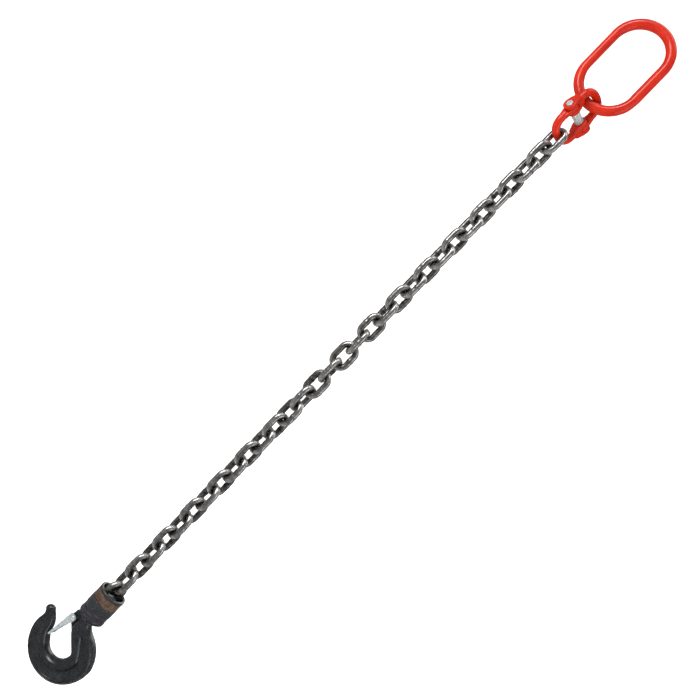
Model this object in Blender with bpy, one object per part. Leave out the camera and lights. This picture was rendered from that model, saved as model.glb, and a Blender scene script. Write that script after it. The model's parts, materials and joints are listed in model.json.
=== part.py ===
"""One-leg lifting chain sling: master link, coupling link, chain, barrel swivel and a latched hook.

The sling hangs along -Z from the inside of the master link's top, which is the origin: the place where a
crane hook carries it. Z is up. The master link and the hook lie in the XZ plane, the hook's tip towards -X.
"""

import math

import bmesh
import bpy
from mathutils import Matrix, Vector

MM = 0.001
GAP = 0.3 * MM  # clearance between neighbouring solids

# Master link: a round bar bent to an oval.
MASTER_BAR = 16.0 * MM
MASTER_INNER_WIDTH = 75.0 * MM
MASTER_INNER_LENGTH = 135.0 * MM
MASTER_FLAT_SQUEEZE = 0.88  # the bar's depth in the link's plane along its flattened side

# Coupling link: two equal forgings on one load pin.
COUPLING_BAR = 12.6 * MM
COUPLING_INNER_LENGTH = 68.0 * MM
COUPLING_CROWN_SQUARENESS = 0.82  # exponent of the crown's curve: 1 is round, less is squarer
COUPLING_LUG_RADIUS = 10.5 * MM
COUPLING_LUG_INNER_X = 11.4 * MM
COUPLING_LUG_OUTER_X = 29.8 * MM
COUPLING_TONGUE_THICKNESS = 6.4 * MM
COUPLING_PIN_RADIUS = 5.2 * MM
COUPLING_PIN_HOLE_RADIUS = 5.5 * MM
COUPLING_BUSH_RADIUS = 7.0 * MM
COUPLING_YAW = math.radians(57)

# Chain: short-link, ten millimetre bar.
CHAIN_BAR = 10.0 * MM
CHAIN_PITCH = 30.3 * MM
CHAIN_INNER_WIDTH = 14.0 * MM
LINK_COUNT = 33
LAST_LINK_YAW = math.radians(52)
CHAIN_TWIST = math.radians(90)  # slow extra turn that the hanging chain holds in its middle third
TWIST_FIRST_LINK = 8
TWIST_LAST_LINK = 21
TWIST_SHORTENING = 2.4 * MM  # crowns that cross askew ride up on each other

# Barrel swivel.
BARREL_RADIUS = 22.5 * MM
BARREL_HEIGHT = 52.5 * MM
BARREL_BORE_RADIUS = 18.0 * MM
BARREL_FLOOR = 6.0 * MM
BARREL_SHANK_HOLE_RADIUS = 8.4 * MM
PIN_BELOW_RIM = 12.0 * MM
CHAIN_PIN_RADIUS = 6.0 * MM
UPPER_GROOVE = (5.5 * MM, 19.0 * MM)  # below the rim, from and to
UPPER_GROOVE_RADIUS = 20.7 * MM
LOWER_GROOVE = (33.5 * MM, 46.0 * MM)
LOWER_GROOVE_RADIUS = 21.8 * MM
BAND_RADIUS = 22.1 * MM
BAND_SPLIT = 3.0 * MM

# Thrust bearing, nut and lock pin inside the barrel.
RACE_OUTER_RADIUS = 16.0 * MM
RACE_THICKNESS = 2.0 * MM
BALL_RADIUS = 2.0 * MM
BALL_CIRCLE_RADIUS = 12.3 * MM
BALL_COUNT = 10
NUT_HEIGHT = 6.2 * MM
NUT_RADIUS = 14.0 * MM
LOCK_PIN_RADIUS = 1.5 * MM

# Hook, below the barrel.
SHANK_RADIUS = 8.0 * MM
NECK_GAP = 2.9 * MM
COLLAR_RADIUS = 13.6 * MM
COLLAR_HEIGHT = 2.6 * MM
BOWL_CENTRE = Vector((-3.6 * MM, -60.0 * MM))
BOWL_RADIUS = 22.9 * MM
BACK_CENTRE = Vector((0.8 * MM, -60.5 * MM))
BACK_HALF_WIDTH = 58.3 * MM
BACK_HALF_HEIGHT = 56.0 * MM
BEAD_HALF = 11.5 * MM  # half thickness of the bead that lines the bowl
FLANGE_HALF = 9.4 * MM
POCKET_HALF = 4.6 * MM

# Latch, its rivet and its spring.
LATCH_PIVOT = Vector((-17.2 * MM, -19.2 * MM))
LATCH_LEAN = math.radians(6.0)  # from straight down, towards the hook's tip
LATCH_SHEET = 1.3 * MM
LATCH_HALF_WIDTH = 8.1 * MM
LUG_HALF = 3.0 * MM
RIVET_RADIUS = 2.5 * MM
SPRING_WIRE_RADIUS = 0.5 * MM
SPRING_COIL_RADIUS = 4.2 * MM
SPRING_TURNS = 2

# Levels along the hanging sling.
MASTER_TOP = MASTER_BAR / 2
MASTER_LENGTH = MASTER_INNER_LENGTH + MASTER_BAR
COUPLING_TOP = MASTER_TOP - MASTER_LENGTH + (MASTER_BAR + COUPLING_BAR) / 2 + GAP
COUPLING_LENGTH = COUPLING_INNER_LENGTH + COUPLING_BAR
COUPLING_PIN_LEVEL = COUPLING_TOP - COUPLING_LENGTH / 2
CHAIN_TOP = COUPLING_TOP - COUPLING_LENGTH + (COUPLING_BAR + CHAIN_BAR) / 2 + GAP
LINK_LENGTH = CHAIN_PITCH + CHAIN_BAR
LINK_STEP = CHAIN_PITCH - GAP
CHAIN_BOTTOM = CHAIN_TOP - (LINK_COUNT - 1) * LINK_STEP + TWIST_SHORTENING - LINK_LENGTH
CHAIN_PIN_LEVEL = CHAIN_BOTTOM + CHAIN_BAR / 2 + CHAIN_PIN_RADIUS + GAP
BARREL_TOP = CHAIN_PIN_LEVEL + PIN_BELOW_RIM
BARREL_BOTTOM = BARREL_TOP - BARREL_HEIGHT
BARREL_FLOOR_LEVEL = BARREL_BOTTOM + BARREL_FLOOR
LOWER_RACE_LEVEL = BARREL_FLOOR_LEVEL + GAP
CAGE_LEVEL = LOWER_RACE_LEVEL + RACE_THICKNESS + GAP + BALL_RADIUS
UPPER_RACE_LEVEL = CAGE_LEVEL + BALL_RADIUS + GAP
NUT_LEVEL = UPPER_RACE_LEVEL + RACE_THICKNESS + GAP
SHANK_TOP = NUT_LEVEL + NUT_HEIGHT + 0.5 * MM

COLOURS = {
    "red_paint": ((0.70, 0.035, 0.02, 1), 0.35, 0.0),
    "zinc": ((0.62, 0.66, 0.68, 1), 0.35, 0.9),
    "chain_steel": ((0.23, 0.22, 0.20, 1), 0.38, 0.85),
    "black_forging": ((0.025, 0.026, 0.028, 1), 0.5, 0.3),
    "tinted_steel": ((0.16, 0.09, 0.06, 1), 0.4, 0.8),
    "bright_steel": ((0.55, 0.55, 0.56, 1), 0.3, 1.0),
}


def material(slot):
    """The Principled material of a slot, made once."""
    found = bpy.data.materials.get(slot)
    if found:
        return found
    colour, roughness, metallic = COLOURS[slot]
    made = bpy.data.materials.new(slot)
    made.use_nodes = True
    shader = made.node_tree.nodes["Principled BSDF"]
    shader.inputs["Base Color"].default_value = colour
    shader.inputs["Roughness"].default_value = roughness
    shader.inputs["Metallic"].default_value = metallic
    made.diffuse_color = colour
    return made


def object_from_bmesh(name, bm, slot, location=(0, 0, 0), yaw=0.0, parent=None):
    """Turns a bmesh into a named object, shaded smooth between sharp edges."""
    bmesh.ops.recalc_face_normals(bm, faces=bm.faces)
    mesh = bpy.data.meshes.new(name)
    bm.to_mesh(mesh)
    bm.free()
    mesh.materials.append(material(slot))
    mesh.shade_smooth()
    mesh.set_sharp_from_angle(angle=math.radians(40))
    return object_from_mesh(name, mesh, location, yaw, parent)


def object_from_mesh(name, mesh, location=(0, 0, 0), yaw=0.0, parent=None):
    obj = bpy.data.objects.new(name, mesh)
    obj.location = location
    obj.rotation_euler = (0, 0, yaw)
    obj.parent = parent
    bpy.context.scene.collection.objects.link(obj)
    return obj


def axis_empty(name, location, yaw=0.0, parent=None):
    """An empty on a joint's axis, which the pieces of one moving body hang from."""
    empty = bpy.data.objects.new(name, None)
    empty.location = location
    empty.rotation_euler = (0, 0, yaw)
    empty.empty_display_size = 0.02
    empty.parent = parent
    bpy.context.scene.collection.objects.link(empty)
    return empty


def combine(obj, tool, operation):
    """Boolean of two objects, applied, with the tool object removed."""
    modifier = obj.modifiers.new(operation, "BOOLEAN")
    modifier.operation = operation
    modifier.solver = "EXACT"
    modifier.object = tool
    bpy.context.view_layer.update()
    evaluated = obj.evaluated_get(bpy.context.evaluated_depsgraph_get())
    mesh = bpy.data.meshes.new_from_object(evaluated)
    obj.modifiers.clear()
    old = obj.data
    obj.data = mesh
    mesh.name = old.name
    bpy.data.meshes.remove(old)
    bpy.data.objects.remove(tool, do_unlink=True)


def skin(bm, rings, closed=False):
    """Faces between successive rings of points, with caps on the ends unless the rings close on themselves."""
    loops = [[bm.verts.new(point) for point in ring] for ring in rings]
    pairs = list(zip(loops, loops[1:]))
    if closed:
        pairs.append((loops[-1], loops[0]))
    for here, there in pairs:
        for i in range(len(here)):
            j = (i + 1) % len(here)
            bm.faces.new((here[i], here[j], there[j], there[i]))
    if not closed:
        bm.faces.new(loops[0])
        bm.faces.new(loops[-1])
    return bm


def circle_ring(centre, across, half_depth, half_thickness, sides):
    """A ring of points round a bar: across lies in the XZ plane, the other axis is Y."""
    ring = []
    for i in range(sides):
        angle = 2 * math.pi * (i + 0.5) / sides
        offset = across * (half_depth * math.cos(angle))
        ring.append(centre + offset + Vector((0, half_thickness * math.sin(angle), 0)))
    return ring


def oval_path(width, length, arc_steps, side_steps):
    """Centres and outward directions along an upright oval whose top lies at the origin, in the XZ plane."""
    radius = width / 2
    path = []
    for centre_z, first in ((-radius, 0.0), (radius - length, math.pi)):
        for i in range(arc_steps + 1):
            angle = first + math.pi * i / arc_steps
            outward = Vector((math.cos(angle), 0, math.sin(angle)))
            path.append((Vector((0, 0, centre_z)) + radius * outward, outward))
        side = -1 if first == 0.0 else 1
        start = path[-1][0]
        run = (length - width) * (1 if side > 0 else -1)
        for i in range(1, side_steps):
            path.append((start + Vector((0, 0, run * i / side_steps)), Vector((side, 0, 0))))
    return path


def turned(bm, profile, steps, start=0.0, sweep=2 * math.pi):
    """A closed profile of (radius, z) points turned about Z."""
    whole = math.isclose(sweep, 2 * math.pi)
    count = steps if whole else steps + 1
    rings = []
    for i in range(count):
        angle = start + sweep * i / steps
        rings.append([Vector((r * math.cos(angle), r * math.sin(angle), z)) for r, z in profile])
    return skin(bm, rings, closed=whole)


def cylinder_x(bm, radius, x_from, x_to, sides):
    """A cylinder along X."""
    rings = []
    for x in (x_from, x_to):
        angles = [2 * math.pi * (i + 0.5) / sides for i in range(sides)]
        rings.append([Vector((x, radius * math.cos(a), radius * math.sin(a))) for a in angles])
    return skin(bm, rings)


def cylinder_z(bm, radius, z_from, z_to, sides, chamfer=0.0):
    """A cylinder along Z, with chamfered ends if asked."""
    stops = [(radius, z_from), (radius, z_to)]
    if chamfer:
        stops = [(radius - chamfer, z_from), (radius, z_from + chamfer)]
        stops += [(radius, z_to - chamfer), (radius - chamfer, z_to)]
    rings = []
    for r, z in stops:
        angles = [2 * math.pi * i / sides for i in range(sides)]
        rings.append([Vector((r * math.cos(a), r * math.sin(a), z)) for a in angles])
    return skin(bm, rings)


def plate(bm, outline, y_from, y_to):
    """A flat plate from an outline of (x, z) points, between two Y planes."""
    return skin(bm, [[Vector((x, y, z)) for x, z in outline] for y in (y_from, y_to)])


def smooth_step(value):
    value = min(1.0, max(0.0, value))
    return value * value * (3 - 2 * value)


def twist_done(index):
    """Share of the chain's extra turn that lies above a link, counted from 0 at the top."""
    return smooth_step((index - TWIST_FIRST_LINK) / (TWIST_LAST_LINK - TWIST_FIRST_LINK))


def link_yaw(index):
    """Yaw of a chain link's plane: each link crosses its neighbour."""
    crossing = math.radians(90) * (LINK_COUNT - 1 - index)
    return LAST_LINK_YAW + crossing + CHAIN_TWIST * (1 - twist_done(index))


def link_level(index):
    """Height of a link's upper crown centre."""
    return CHAIN_TOP - index * LINK_STEP + TWIST_SHORTENING * twist_done(index)


def make_master_link():
    """An oval of round bar, its -X side flattened so that a coupling link passes over it."""
    width = MASTER_INNER_WIDTH + MASTER_BAR
    bar = MASTER_BAR / 2
    flat_middle = -MASTER_LENGTH / 2
    flat_half = (MASTER_LENGTH - width) / 2 + 6 * MM
    rings = []
    for centre, outward in oval_path(width, MASTER_LENGTH, 10, 4):
        on_flat_side = smooth_step(-outward.x * 3 - 2)
        along = smooth_step(1.6 - abs(centre.z - flat_middle) / flat_half)
        squeeze = 1 + (MASTER_FLAT_SQUEEZE - 1) * on_flat_side * along
        rings.append(circle_ring(centre, outward, bar * squeeze, bar, 12))
    bm = skin(bmesh.new(), rings, closed=True)
    object_from_bmesh("master_link", bm, "red_paint", location=(0, 0, MASTER_TOP))


def lug_outline():
    """Side view of a coupling lug, as (y, z): a round head about the pin, tapering to the bar below."""
    head = COUPLING_LUG_RADIUS
    outline = []
    for i in range(13):
        angle = math.radians(-25 + 230 * i / 12)
        outline.append((head * math.cos(angle), head * math.sin(angle)))
    half_bar = COUPLING_BAR / 2 - 0.2 * MM
    outline += [(-half_bar, -19 * MM), (half_bar, -19 * MM)]
    return outline


def lug_block(x_from, x_to):
    bm = bmesh.new()
    skin(bm, [[Vector((x, y, z)) for y, z in lug_outline()] for x in (x_from, x_to)])
    return object_from_bmesh("lug", bm, "red_paint")


def fork_taper(leg_x):
    """Front view of the fork: full width round the pin, narrowing to the bar below."""
    half = (COUPLING_LUG_OUTER_X - COUPLING_LUG_INNER_X) / 2
    half_bar = COUPLING_BAR / 2 - 0.4 * MM
    head = COUPLING_LUG_RADIUS + MM
    outline = [(half, head), (half, -8 * MM), (half_bar, -20 * MM)]
    outline += [(-x, z) for x, z in reversed(outline)]
    bm = plate(bmesh.new(), [(leg_x + x, z) for x, z in outline], -head, head)
    return object_from_bmesh("taper", bm, "red_paint")


def coupling_half(name, turned_round, parent):
    """One forging: crown below, tongue at -X and fork at +X, its pin hole along X at the origin."""
    leg_x = (COUPLING_LUG_INNER_X + COUPLING_LUG_OUTER_X) / 2
    crown_z = -COUPLING_LENGTH / 2 + leg_x
    bar = COUPLING_BAR / 2
    centres = [(Vector((-leg_x, 0, -12 * MM)), Vector((-1, 0, 0)))]
    for i in range(11):
        angle = math.pi + math.pi * i / 10
        outward = Vector((math.cos(angle), 0, math.sin(angle)))
        across = math.copysign(abs(outward.x) ** COUPLING_CROWN_SQUARENESS, outward.x)
        down = -abs(outward.z) ** COUPLING_CROWN_SQUARENESS
        centres.append((Vector((leg_x * across, 0, crown_z + leg_x * down)), outward))
    centres.append((Vector((leg_x, 0, -12 * MM)), Vector((1, 0, 0))))
    bm = skin(bmesh.new(), [circle_ring(c, o, bar, bar, 12) for c, o in centres])
    half = object_from_bmesh(name, bm, "red_paint")
    tongue = COUPLING_TONGUE_THICKNESS / 2
    slot = tongue + GAP
    combine(half, lug_block(-leg_x - tongue, -leg_x + tongue), "UNION")
    fork = lug_block(COUPLING_LUG_INNER_X, COUPLING_LUG_OUTER_X)
    combine(fork, fork_taper(leg_x), "INTERSECT")
    combine(half, fork, "UNION")
    slot_bm = cylinder_x(bmesh.new(), COUPLING_LUG_RADIUS + 0.9 * MM, leg_x - slot, leg_x + slot, 24)
    combine(half, object_from_bmesh("slot", slot_bm, "red_paint"), "DIFFERENCE")
    reach = COUPLING_LUG_OUTER_X + 2 * MM
    hole_bm = cylinder_x(bmesh.new(), COUPLING_PIN_HOLE_RADIUS, -reach, reach, 20)
    combine(half, object_from_bmesh("hole", hole_bm, "red_paint"), "DIFFERENCE")
    half.rotation_euler = (0, math.pi if turned_round else 0.0, 0)
    half.parent = parent
    return half


def make_coupling():
    """Both halves, their load pin and the ridged bush, on the pin's axis."""
    axis = axis_empty("coupling_axis", (0, 0, COUPLING_PIN_LEVEL), COUPLING_YAW)
    coupling_half("coupling_half_upper", True, axis)
    coupling_half("coupling_half_lower", False, axis)
    reach = COUPLING_LUG_OUTER_X + 0.8 * MM
    pin = cylinder_x(bmesh.new(), COUPLING_PIN_RADIUS, -reach, reach, 20)
    object_from_bmesh("coupling_pin", pin, "zinc", parent=axis)
    ridges = 12
    half_length = COUPLING_LUG_INNER_X - GAP
    rings = []
    for x, inside in ((-half_length, False), (half_length, False), (half_length, True), (-half_length, True)):
        ring = []
        for i in range(2 * ridges):
            angle = math.pi * (i + 0.5) / ridges
            radius = COUPLING_BUSH_RADIUS - (i % 2) * 0.5 * MM
            if inside:
                radius = COUPLING_PIN_HOLE_RADIUS
            ring.append(Vector((x, radius * math.cos(angle), radius * math.sin(angle))))
        rings.append(ring)
    bush = skin(bmesh.new(), rings, closed=True)
    object_from_bmesh("coupling_bush", bush, "zinc", parent=axis)


def make_chain():
    """Equal links, each with its origin on the bar of the link above, where it swings."""
    width = CHAIN_INNER_WIDTH + CHAIN_BAR
    bar = CHAIN_BAR / 2
    pivot_below_crown = CHAIN_BAR + GAP
    lift = Vector((0, 0, pivot_below_crown))
    rings = [circle_ring(c + lift, o, bar, bar, 8) for c, o in oval_path(width, LINK_LENGTH, 6, 1)]
    shared = None
    for index in range(LINK_COUNT):
        name = f"link_{index + 1:02d}"
        location = (0, 0, link_level(index) - pivot_below_crown)
        if shared is None:
            axis = axis_empty("link_01_axis", (0, 0, COUPLING_TOP - COUPLING_LENGTH))
            first = object_from_bmesh(name, skin(bmesh.new(), rings, closed=True), "chain_steel")
            first.location = Vector(location) - axis.location
            first.rotation_euler = (0, 0, link_yaw(index))
            first.parent = axis
            shared = first.data
            shared.name = "chain_link"
        else:
            object_from_mesh(name, shared, location, link_yaw(index))


def barrel_profile():
    """Half section of the cup, as (radius, z below the rim)."""
    chamfer = 1.3 * MM
    mouth = BARREL_BORE_RADIUS + 1.3 * MM
    skirt = 3.0 * MM
    return [
        (mouth, 0),
        (BARREL_RADIUS - chamfer, 0),
        (BARREL_RADIUS, -chamfer),
        (BARREL_RADIUS, -UPPER_GROOVE[0]),
        (UPPER_GROOVE_RADIUS, -UPPER_GROOVE[0]),
        (UPPER_GROOVE_RADIUS, -UPPER_GROOVE[1]),
        (BARREL_RADIUS, -UPPER_GROOVE[1]),
        (BARREL_RADIUS, -LOWER_GROOVE[0]),
        (LOWER_GROOVE_RADIUS, -LOWER_GROOVE[0]),
        (LOWER_GROOVE_RADIUS, -LOWER_GROOVE[1]),
        (BARREL_RADIUS, -LOWER_GROOVE[1]),
        (BARREL_RADIUS, -BARREL_HEIGHT + skirt),
        (BARREL_RADIUS - skirt, -BARREL_HEIGHT),
        (BARREL_SHANK_HOLE_RADIUS, -BARREL_HEIGHT),
        (BARREL_SHANK_HOLE_RADIUS, -BARREL_HEIGHT + BARREL_FLOOR),
        (BARREL_BORE_RADIUS, -BARREL_HEIGHT + BARREL_FLOOR),
        (BARREL_BORE_RADIUS, -2.0 * MM),
    ]


def washer(name, level, inner, outer, height, slot, parent):
    profile = [(inner, 0), (outer, 0), (outer, height), (inner, height)]
    bm = turned(bmesh.new(), profile, 32)
    return object_from_bmesh(name, bm, slot, location=(0, 0, level), parent=parent)


def make_barrel():
    """The cup, its cross pin and the split band over the pin's ends, with the bearing's lower race."""
    axis = axis_empty("barrel_axis", (0, 0, CHAIN_BOTTOM), link_yaw(LINK_COUNT - 1))
    rim = BARREL_TOP - CHAIN_BOTTOM
    body_bm = turned(bmesh.new(), barrel_profile(), 32)
    body = object_from_bmesh("barrel_body", body_bm, "black_forging")
    upright = Matrix.Rotation(math.radians(90), 4, "Z")
    hole_bm = cylinder_x(bmesh.new(), CHAIN_PIN_RADIUS + GAP, -2 * BARREL_RADIUS, 2 * BARREL_RADIUS, 20)
    hole_bm.transform(Matrix.Translation((0, 0, -PIN_BELOW_RIM)) @ upright)
    combine(body, object_from_bmesh("hole", hole_bm, "black_forging"), "DIFFERENCE")
    body.location = (0, 0, rim)
    body.parent = axis
    reach = UPPER_GROOVE_RADIUS - 1.0 * MM
    pin_bm = cylinder_x(bmesh.new(), CHAIN_PIN_RADIUS, -reach, reach, 20)
    pin_bm.transform(upright)
    object_from_bmesh("chain_pin", pin_bm, "bright_steel", (0, 0, rim - PIN_BELOW_RIM), parent=axis)
    inner = UPPER_GROOVE_RADIUS + GAP
    top = -UPPER_GROOVE[0] - GAP
    bottom = -UPPER_GROOVE[1] + GAP
    profile = [(inner, bottom), (BAND_RADIUS, bottom), (BAND_RADIUS, top), (inner, top)]
    split = BAND_SPLIT / BAND_RADIUS
    start = math.radians(90) - link_yaw(LINK_COUNT - 1) + split / 2
    band_bm = turned(bmesh.new(), profile, 36, start, 2 * math.pi - split)
    object_from_bmesh("pin_cover_band", band_bm, "tinted_steel", (0, 0, rim), parent=axis)
    race = LOWER_RACE_LEVEL - CHAIN_BOTTOM
    washer("bearing_race_lower", race, 9 * MM, RACE_OUTER_RADIUS, RACE_THICKNESS, "bright_steel", axis)


def make_bearing_cage(parent):
    """A flat ring that holds the balls, made one solid with them."""
    half = 0.6 * MM
    profile = [(9.6 * MM, -half), (15.4 * MM, -half), (15.4 * MM, half), (9.6 * MM, half)]
    cage_bm = turned(bmesh.new(), profile, 30)
    cage = object_from_bmesh("bearing_cage", cage_bm, "bright_steel")
    balls = bmesh.new()
    for i in range(BALL_COUNT):
        angle = 2 * math.pi * (i + 0.37) / BALL_COUNT
        place = Vector((math.cos(angle), math.sin(angle), 0)) * BALL_CIRCLE_RADIUS
        turn = Matrix.Translation(place)
        bmesh.ops.create_uvsphere(balls, u_segments=8, v_segments=6, radius=BALL_RADIUS, matrix=turn)
    combine(cage, object_from_bmesh("balls", balls, "bright_steel"), "UNION")
    cage.location = (0, 0, CAGE_LEVEL)
    cage.parent = parent


def hook_stations():
    """Sections of the forging from the neck to the tip, as inner point, outer point, and three blends:
    bead to flange (0 is round), depth of the side pocket, and the scale of the thickness."""
    neck = [
        ((-10.9, -6.4), (10.9, -6.4), 0.0, 0.0, 0.95),
        ((-10.9, -11.2), (12.6, -10.2), 0.0, 0.0, 0.96),
        ((-11.0, -19.6), (20.0, -15.2), 0.15, 0.0, 0.98),
        ((-10.4, -27.4), (31.0, -20.4), 0.6, 0.3, 1.0),
        ((-6.6, -34.4), (41.2, -27.4), 0.9, 0.9, 1.0),
        ((-0.2, -40.4), (48.6, -35.2), 1.0, 1.0, 1.0),
        ((6.8, -46.4), (53.9, -42.8), 1.0, 1.0, 1.0),
        ((13.0, -51.4), (57.0, -50.0), 1.0, 1.0, 1.0),
        ((17.2, -55.2), (58.5, -54.4), 1.0, 1.0, 1.0),
    ]
    tip = [
        ((-26.6, -68.6), (-53.6, -80.6), 0.95, 0.0, 0.98),
        ((-29.2, -64.2), (-56.7, -71.4), 0.85, 0.0, 0.94),
        ((-30.9, -58.8), (-57.6, -63.0), 0.75, 0.0, 0.90),
        ((-32.8, -52.6), (-56.9, -55.6), 0.55, 0.0, 0.84),
        ((-36.6, -46.6), (-56.8, -50.0), 0.3, 0.0, 0.76),
        ((-41.6, -41.4), (-59.0, -46.2), 0.1, 0.0, 0.68),
        ((-46.8, -37.0), (-62.0, -43.2), 0.0, 0.0, 0.60),
        ((-51.4, -33.8), (-63.6, -39.2), 0.0, 0.0, 0.52),
        ((-55.4, -32.0), (-62.3, -35.0), 0.0, 0.0, 0.30),
    ]
    steps = 12
    bend = []
    for step in range(steps + 1):
        angle = math.radians(2 - 148.8 * step / steps)
        ray = Vector((math.cos(angle), math.sin(angle)))
        inner = BOWL_CENTRE + BOWL_RADIUS * ray
        outer = BACK_CENTRE + Vector((BACK_HALF_WIDTH * ray.x, BACK_HALF_HEIGHT * ray.y))
        pocket = smooth_step(1.0 - (step - 6) / 4)
        flange = smooth_step(1.0 - (step - 12) / 5)
        bend.append((inner / MM, outer / MM, flange, pocket, 1.0))
    stations = neck + bend + tip
    return [(Vector(i) * MM, Vector(o) * MM, flange, pocket, scale) for i, o, flange, pocket, scale in stations]


def hook_half_thickness(across, flange, pocket, scale):
    """Half thickness at a place across a section, from -1 at the bowl to 1 at the back."""
    round_half = math.sqrt(max(0.0, 1 - across * across))
    if flange == 0.0:
        return BEAD_HALF * scale * round_half
    bead = math.sqrt(max(0.0, 1 - ((across + 0.5) / 0.5) ** 2)) if across < 0 else 0.0
    edge = math.sqrt(max(0.0, 1 - max(0.0, (across - 0.86) / 0.14) ** 2))
    web = FLANGE_HALF + (POCKET_HALF - FLANGE_HALF) * pocket * smooth_step((0.80 - across) / 0.1)
    forged = max(BEAD_HALF * bead, web * edge * smooth_step((across + 1.0) / 0.5))
    return scale * ((1 - flange) * BEAD_HALF * round_half + flange * forged)


ACROSS = [-1.0, -0.93, -0.75, -0.5, -0.25, -0.08, 0.05, 0.4, 0.7, 0.8, 0.92, 1.0]


def hook_ring(station):
    """The ring of points round one section of the hook."""
    inner, outer, flange, pocket, scale = station
    middle = (inner + outer) / 2
    half = (outer - inner) / 2
    front = []
    for across in ACROSS:
        place = middle + half * across
        depth = hook_half_thickness(across, flange, pocket, scale)
        front.append(Vector((place.x, -depth, place.y)))
    back = [Vector((p.x, -p.y, p.z)) for p in reversed(front[1:-1])]
    return front + back


def level_ring(radius, z):
    """A round section of the shank with as many points as the hook's rings, in their order."""
    ring = []
    count = 2 * len(ACROSS) - 2
    for i in range(count):
        angle = math.pi + 2 * math.pi * i / count
        ring.append(Vector((radius * math.cos(angle), radius * math.sin(angle), z)))
    return ring


def make_hook(parent):
    """Shank, collar, bowl, back and tip in one forging, with a lug for the latch on the throat side."""
    shank_top = SHANK_TOP - BARREL_BOTTOM
    collar_top = -NECK_GAP
    rings = [
        level_ring(SHANK_RADIUS - 0.8 * MM, shank_top),
        level_ring(SHANK_RADIUS, shank_top - 0.8 * MM),
        level_ring(SHANK_RADIUS, collar_top),
        level_ring(COLLAR_RADIUS - 0.6 * MM, collar_top - 0.01 * MM),
        level_ring(COLLAR_RADIUS, collar_top - 0.6 * MM),
        level_ring(COLLAR_RADIUS, collar_top - COLLAR_HEIGHT),
    ]
    rings += [hook_ring(station) for station in hook_stations()]
    hook = object_from_bmesh("hook_body", skin(bmesh.new(), rings), "black_forging")
    lug = [(-4, -4.6), (-19.8, -4.9), (-21.8, -6.8), (-22.4, -12.0), (-23.4, -18.6), (-22.8, -23.0)]
    lug += [(-20.6, -26.0), (-17.2, -27.2), (-13.6, -29.0), (-10.2, -31.8), (-5.0, -36.0), (-4, -30)]
    outline = [(x * MM, z * MM) for x, z in lug]
    lug_bm = plate(bmesh.new(), outline, -LUG_HALF, LUG_HALF)
    combine(hook, object_from_bmesh("lug", lug_bm, "black_forging"), "UNION")
    hole_bm = cylinder_z(bmesh.new(), RIVET_RADIUS + GAP, -20 * MM, 20 * MM, 16)
    hole_bm.transform(Matrix.Rotation(math.radians(90), 4, "X"))
    hole_bm.transform(Matrix.Translation((LATCH_PIVOT.x, 0, LATCH_PIVOT.y)))
    combine(hook, object_from_bmesh("hole", hole_bm, "black_forging"), "DIFFERENCE")
    cross_bm = cylinder_x(bmesh.new(), LOCK_PIN_RADIUS + GAP, -20 * MM, 20 * MM, 12)
    lock_level = NUT_LEVEL + NUT_HEIGHT / 2 - BARREL_BOTTOM
    cross_bm.transform(Matrix.Translation((0, 0, lock_level)))
    combine(hook, object_from_bmesh("cross", cross_bm, "black_forging"), "DIFFERENCE")
    hook.parent = parent


def make_nut(parent):
    """A round nut with a hole through it for the lock pin."""
    inner = SHANK_RADIUS + GAP
    outer = NUT_RADIUS
    chamfer = 1.0 * MM
    profile = [(inner, 0), (outer - chamfer, 0), (outer, chamfer), (outer, NUT_HEIGHT - chamfer)]
    profile += [(outer - chamfer, NUT_HEIGHT), (inner, NUT_HEIGHT)]
    nut = object_from_bmesh("shank_nut", turned(bmesh.new(), profile, 24), "bright_steel")
    hole_bm = cylinder_x(bmesh.new(), LOCK_PIN_RADIUS + GAP, -2 * outer, 2 * outer, 12)
    hole_bm.transform(Matrix.Translation((0, 0, NUT_HEIGHT / 2)))
    combine(nut, object_from_bmesh("hole", hole_bm, "bright_steel"), "DIFFERENCE")
    nut.location = (0, 0, NUT_LEVEL - BARREL_BOTTOM)
    nut.parent = parent
    reach = outer - 0.5 * MM
    pin_bm = cylinder_x(bmesh.new(), LOCK_PIN_RADIUS, -reach, reach, 12)
    level = NUT_LEVEL + NUT_HEIGHT / 2 - BARREL_BOTTOM
    object_from_bmesh("nut_lock_pin", pin_bm, "zinc", (0, 0, level), parent=parent)


def latch_cheek():
    """Side view of a latch cheek in the latch's own axes: x towards the bowl, z up, pivot at the origin."""
    cheek = [(-7.4, 4.4), (-5.6, 5.8), (1.2, 6.0), (4.4, 3.6), (5.2, 0.0), (4.4, -5.0), (2.4, -9.6)]
    cheek += [(0.2, -15.5), (-1.6, -26.0), (-3.2, -36.0), (-3.9, -43.4), (-4.6, -46.0), (-6.8, -46.2)]
    cheek += [(-7.4, -42.0), (-7.4, -8.0)]
    return [(x * MM, z * MM) for x, z in cheek]


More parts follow.
